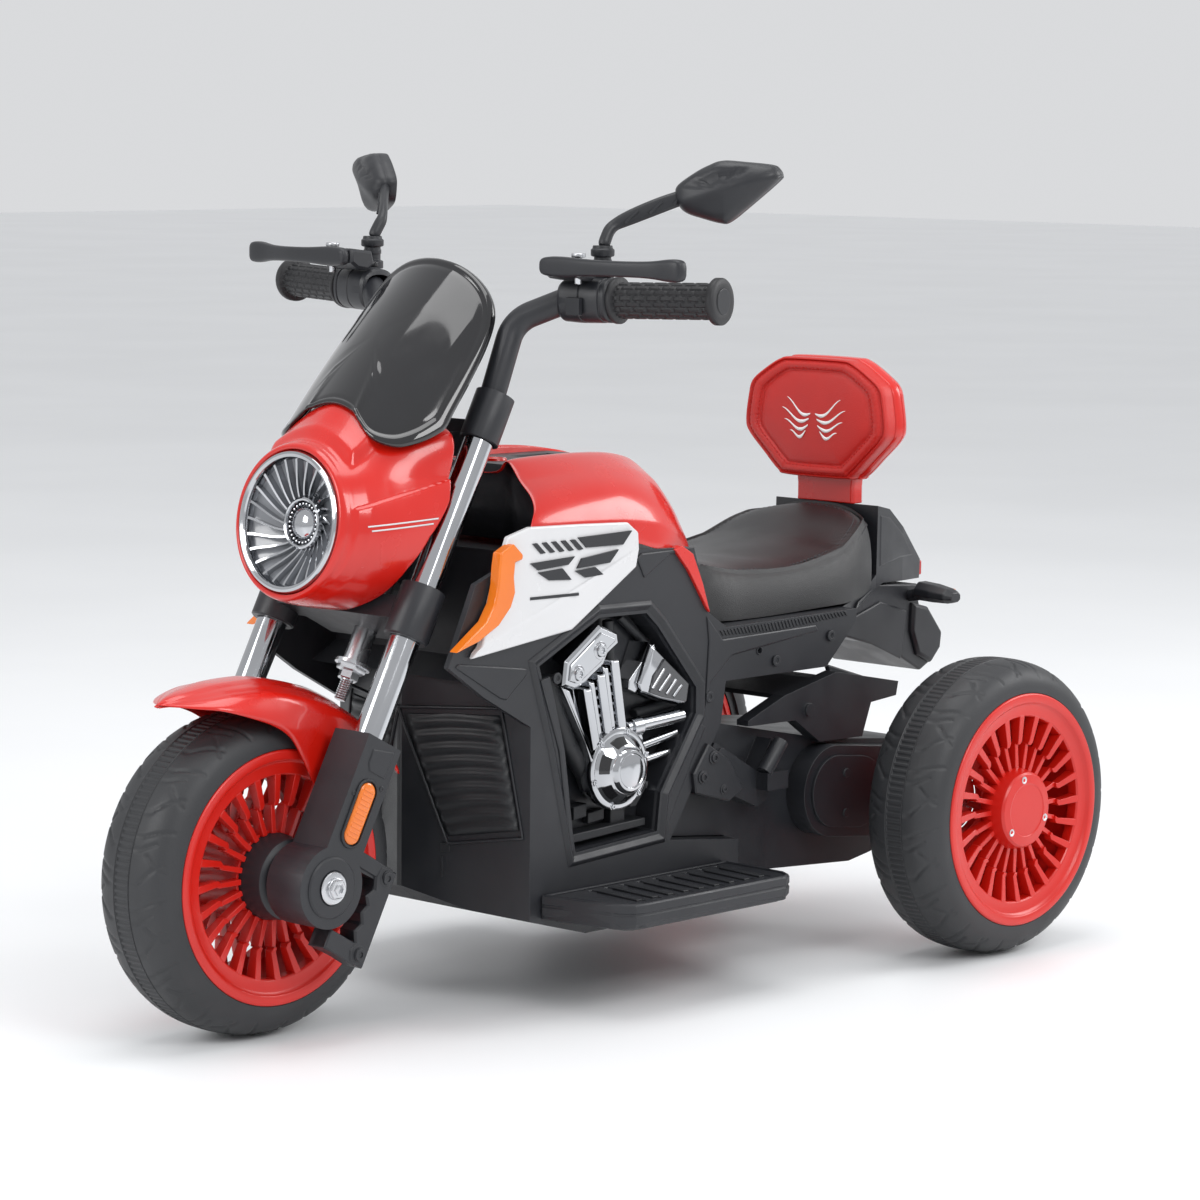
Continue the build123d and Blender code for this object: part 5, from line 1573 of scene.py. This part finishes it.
def make_rear_details():
    """Ribbed panel with screws behind the axle, and the arm brackets with their bolts."""
    ribs = []
    for k in range(9):
        y = -72 + 18 * k
        ribs.append(([(-395.5, y - 4, 96), (-395.5, y + 4, 96), (-395.5, y + 4, 132),
                      (-395.5, y - 4, 132), (-398, y - 3, 97.5), (-398, y + 3, 97.5),
                      (-398, y + 3, 130.5), (-398, y - 3, 130.5)],
                     BOX_FACES[1:]))
    round_edges(new_piece("rear_ribs", *joined(*ribs), BLACK_SOFT, "chassis"), 0.8, 3)
    for sign, side in SIDES:
        bracket = layered([(-80, 209), (-61, 184), (-64, 166), (-108, 154), (-128, 163),
                           (-108, 192)],
                          [(112, 0), (121, 0), (122.4, -1.4)])
        pocket = layered([(-110, 194), (-88, 179), (-136, 160), (-156, 172)],
                         [(106, 0), (113, 0), (113.8, -1)])
        bolts = joined(bolt(-86, 122.4, 196, 4.2, 3), bolt(-72, 122.4, 180, 4.2, 3),
                       bolt(-100, 122.4, 166, 3.2, 2))
        parts = sided(joined(bracket, pocket, bolts), sign)
        round_edges(new_piece(f"swing_bracket_{side}", *parts, BLACK, "chassis"), 1.2, 3)
        wing = layered([(-262, 261), (-345, 236), (-344, 227), (-296, 226), (-284, 219),
                        (-286, 212)],
                       [(98, 0), (101, 0), (102.2, -1.4)])
        holes = [bolt(-318 + 17 * k, 102.2, 238 + 4.4 * k, 2.6, 0.8) for k in range(4)]
        parts = sided(joined(wing, *holes), sign)
        round_edges(new_piece(f"rear_wing_{side}", *parts, BLACK, "chassis"), 1.0, 3)


make_power_button()
make_rear_details()


# ---- footrest rims and tail panels ---------------------------------------------------
REST_OUTLINE = [(126, 121), (118, 152), (112, 186), (108, 196), (100, 204), (90, 206), (-88, 206),
                (-98, 201), (-104, 190), (-105, 121)]


def make_footrest_rim(sign, side):
    """Rolled outer edge of a footrest, its dished underside and the raised tread bars."""
    rings = [(100.4, -3.4), (101.4, -2.2), (101.2, -0.4), (99.4, 1.0), (93.4, 1.2), (92.6, 0.2),
             (91.2, 0.2), (90.4, 1.2), (84, 0.8), (80, -2.2), (77.4, -8), (76.6, -16)]
    points = []
    for z, grow in rings:
        points += [(x, sign * y, z) for x, y in offset_outline(REST_OUTLINE, grow)]
    faces = ring_faces(len(rings), len(REST_OUTLINE), False, True)
    rim = new_piece(f"footrest_rim_{side}", points, faces, BLACK, "chassis", (), 50)
    round_edges(rim, 0.6, 3, 25)
    bars = []
    for k in range(9 if sign > 0 else 0):
        x = -82 + 19.5 * k
        quad = [(x, 140), (x + 7, 140), (x + 12, 192), (x + 5, 192)]
        low = [(a, b, 99.6) for a, b in quad]
        high = [(a + 0.4, b, 101.6) for a, b in quad]
        bars.append((low + high, BOX_FACES[1:]))
    if bars:
        round_edges(new_piece("footrest_tread", *joined(*bars), BLACK_SOFT, "chassis"), 0.6, 3)


def cowl_y(x):
    return look_up([-478, -432, -376, -284], [34, 50, 64, 100], x)


def make_tail_panels(sign, side):
    panels = [[(-383, 338), (-424, 343), (-456, 342), (-430, 365), (-404, 383), (-383, 387)],
              [(-316, 306), (-336, 309), (-366, 319), (-350, 316), (-324, 312)]]
    parts = []
    for panel in panels:
        points = []
        for out, grow in ((-1.5, 0), (1.0, 0), (2.0, -1.6)):
            points += [(x, sign * (cowl_y(x) + out), z) for x, z in offset_outline(panel, grow)]
        parts.append((points, bar_faces(3, len(panel))))
    round_edges(new_piece(f"tail_panels_{side}", *joined(*parts), BLACK, "chassis"), 0.8, 3)
    guard = layered([(-330, 286), (-336, 276), (-380, 264), (-424, 246), (-432, 292), (-392, 304)],
                    [(54, 0), (56.4, 0), (57.4, -1.4)])
    round_edges(new_piece(f"tail_guard_{side}", *sided(guard, sign), BLACK, "chassis"), 1.0, 3)


for sign, side in SIDES:
    make_footrest_rim(sign, side)
    make_tail_panels(sign, side)


# ---- stage, light and camera ---------------------------------------------------------
def make_stage():
    bpy.ops.mesh.primitive_plane_add(size=40, location=(0, 0, -0.0005))
    floor = bpy.context.object
    floor.name = "floor"
    material, nodes, links, shader = new_material("pale_floor")
    shade = add_noise(nodes, links, 1.5)
    tint = ramp(nodes, links, shade.outputs["Fac"], (0.86, 0.87, 0.88), (0.89, 0.90, 0.91))
    links.new(tint.outputs["Color"], shader.inputs["Base Color"])
    shader.inputs["Roughness"].default_value = 0.4
    floor.data.materials.append(material)

    world = bpy.data.worlds.new("studio")
    bpy.context.scene.world = world
    world.use_nodes = True
    world.node_tree.nodes["Background"].inputs["Color"].default_value = (0.97, 0.98, 1.0, 1)
    world.node_tree.nodes["Background"].inputs["Strength"].default_value = 0.72

    lights = [("key", (0.6, 3.0, 2.4), 1.5, 44), ("front", (3.2, -0.6, 1.8), 1.4, 38),
              ("back", (-2.6, 1.6, 1.8), 1.4, 40), ("top", (0, 0, 3.2), 2.0, 36)]
    for name, place, size, power in lights:
        data = bpy.data.lights.new(name, "AREA")
        data.size = size
        data.energy = power
        light = bpy.data.objects.new(name, data)
        bpy.context.scene.collection.objects.link(light)
        light.location = place
        light.rotation_euler = (Vector((0, 0, 0.3)) - Vector(place)).to_track_quat(
            "-Z", "Y").to_euler()


def make_camera():
    data = bpy.data.cameras.new("camera")
    data.lens = 122.42
    data.sensor_width = 36.0
    camera = bpy.data.objects.new("camera", data)
    bpy.context.scene.collection.objects.link(camera)
    right = Vector((-0.68992, 0.72383, 0.00896))
    up = Vector((-0.08078, -0.08928, 0.99273))
    back = right.cross(up)
    turn = Matrix((right, up, back)).transposed()
    camera.matrix_world = Matrix.Translation((2.56296, 2.50159, 0.76563)) @ turn.to_4x4()
    bpy.context.scene.camera = camera
    bpy.context.scene.view_settings.view_transform = "Standard"


make_stage()
make_camera()
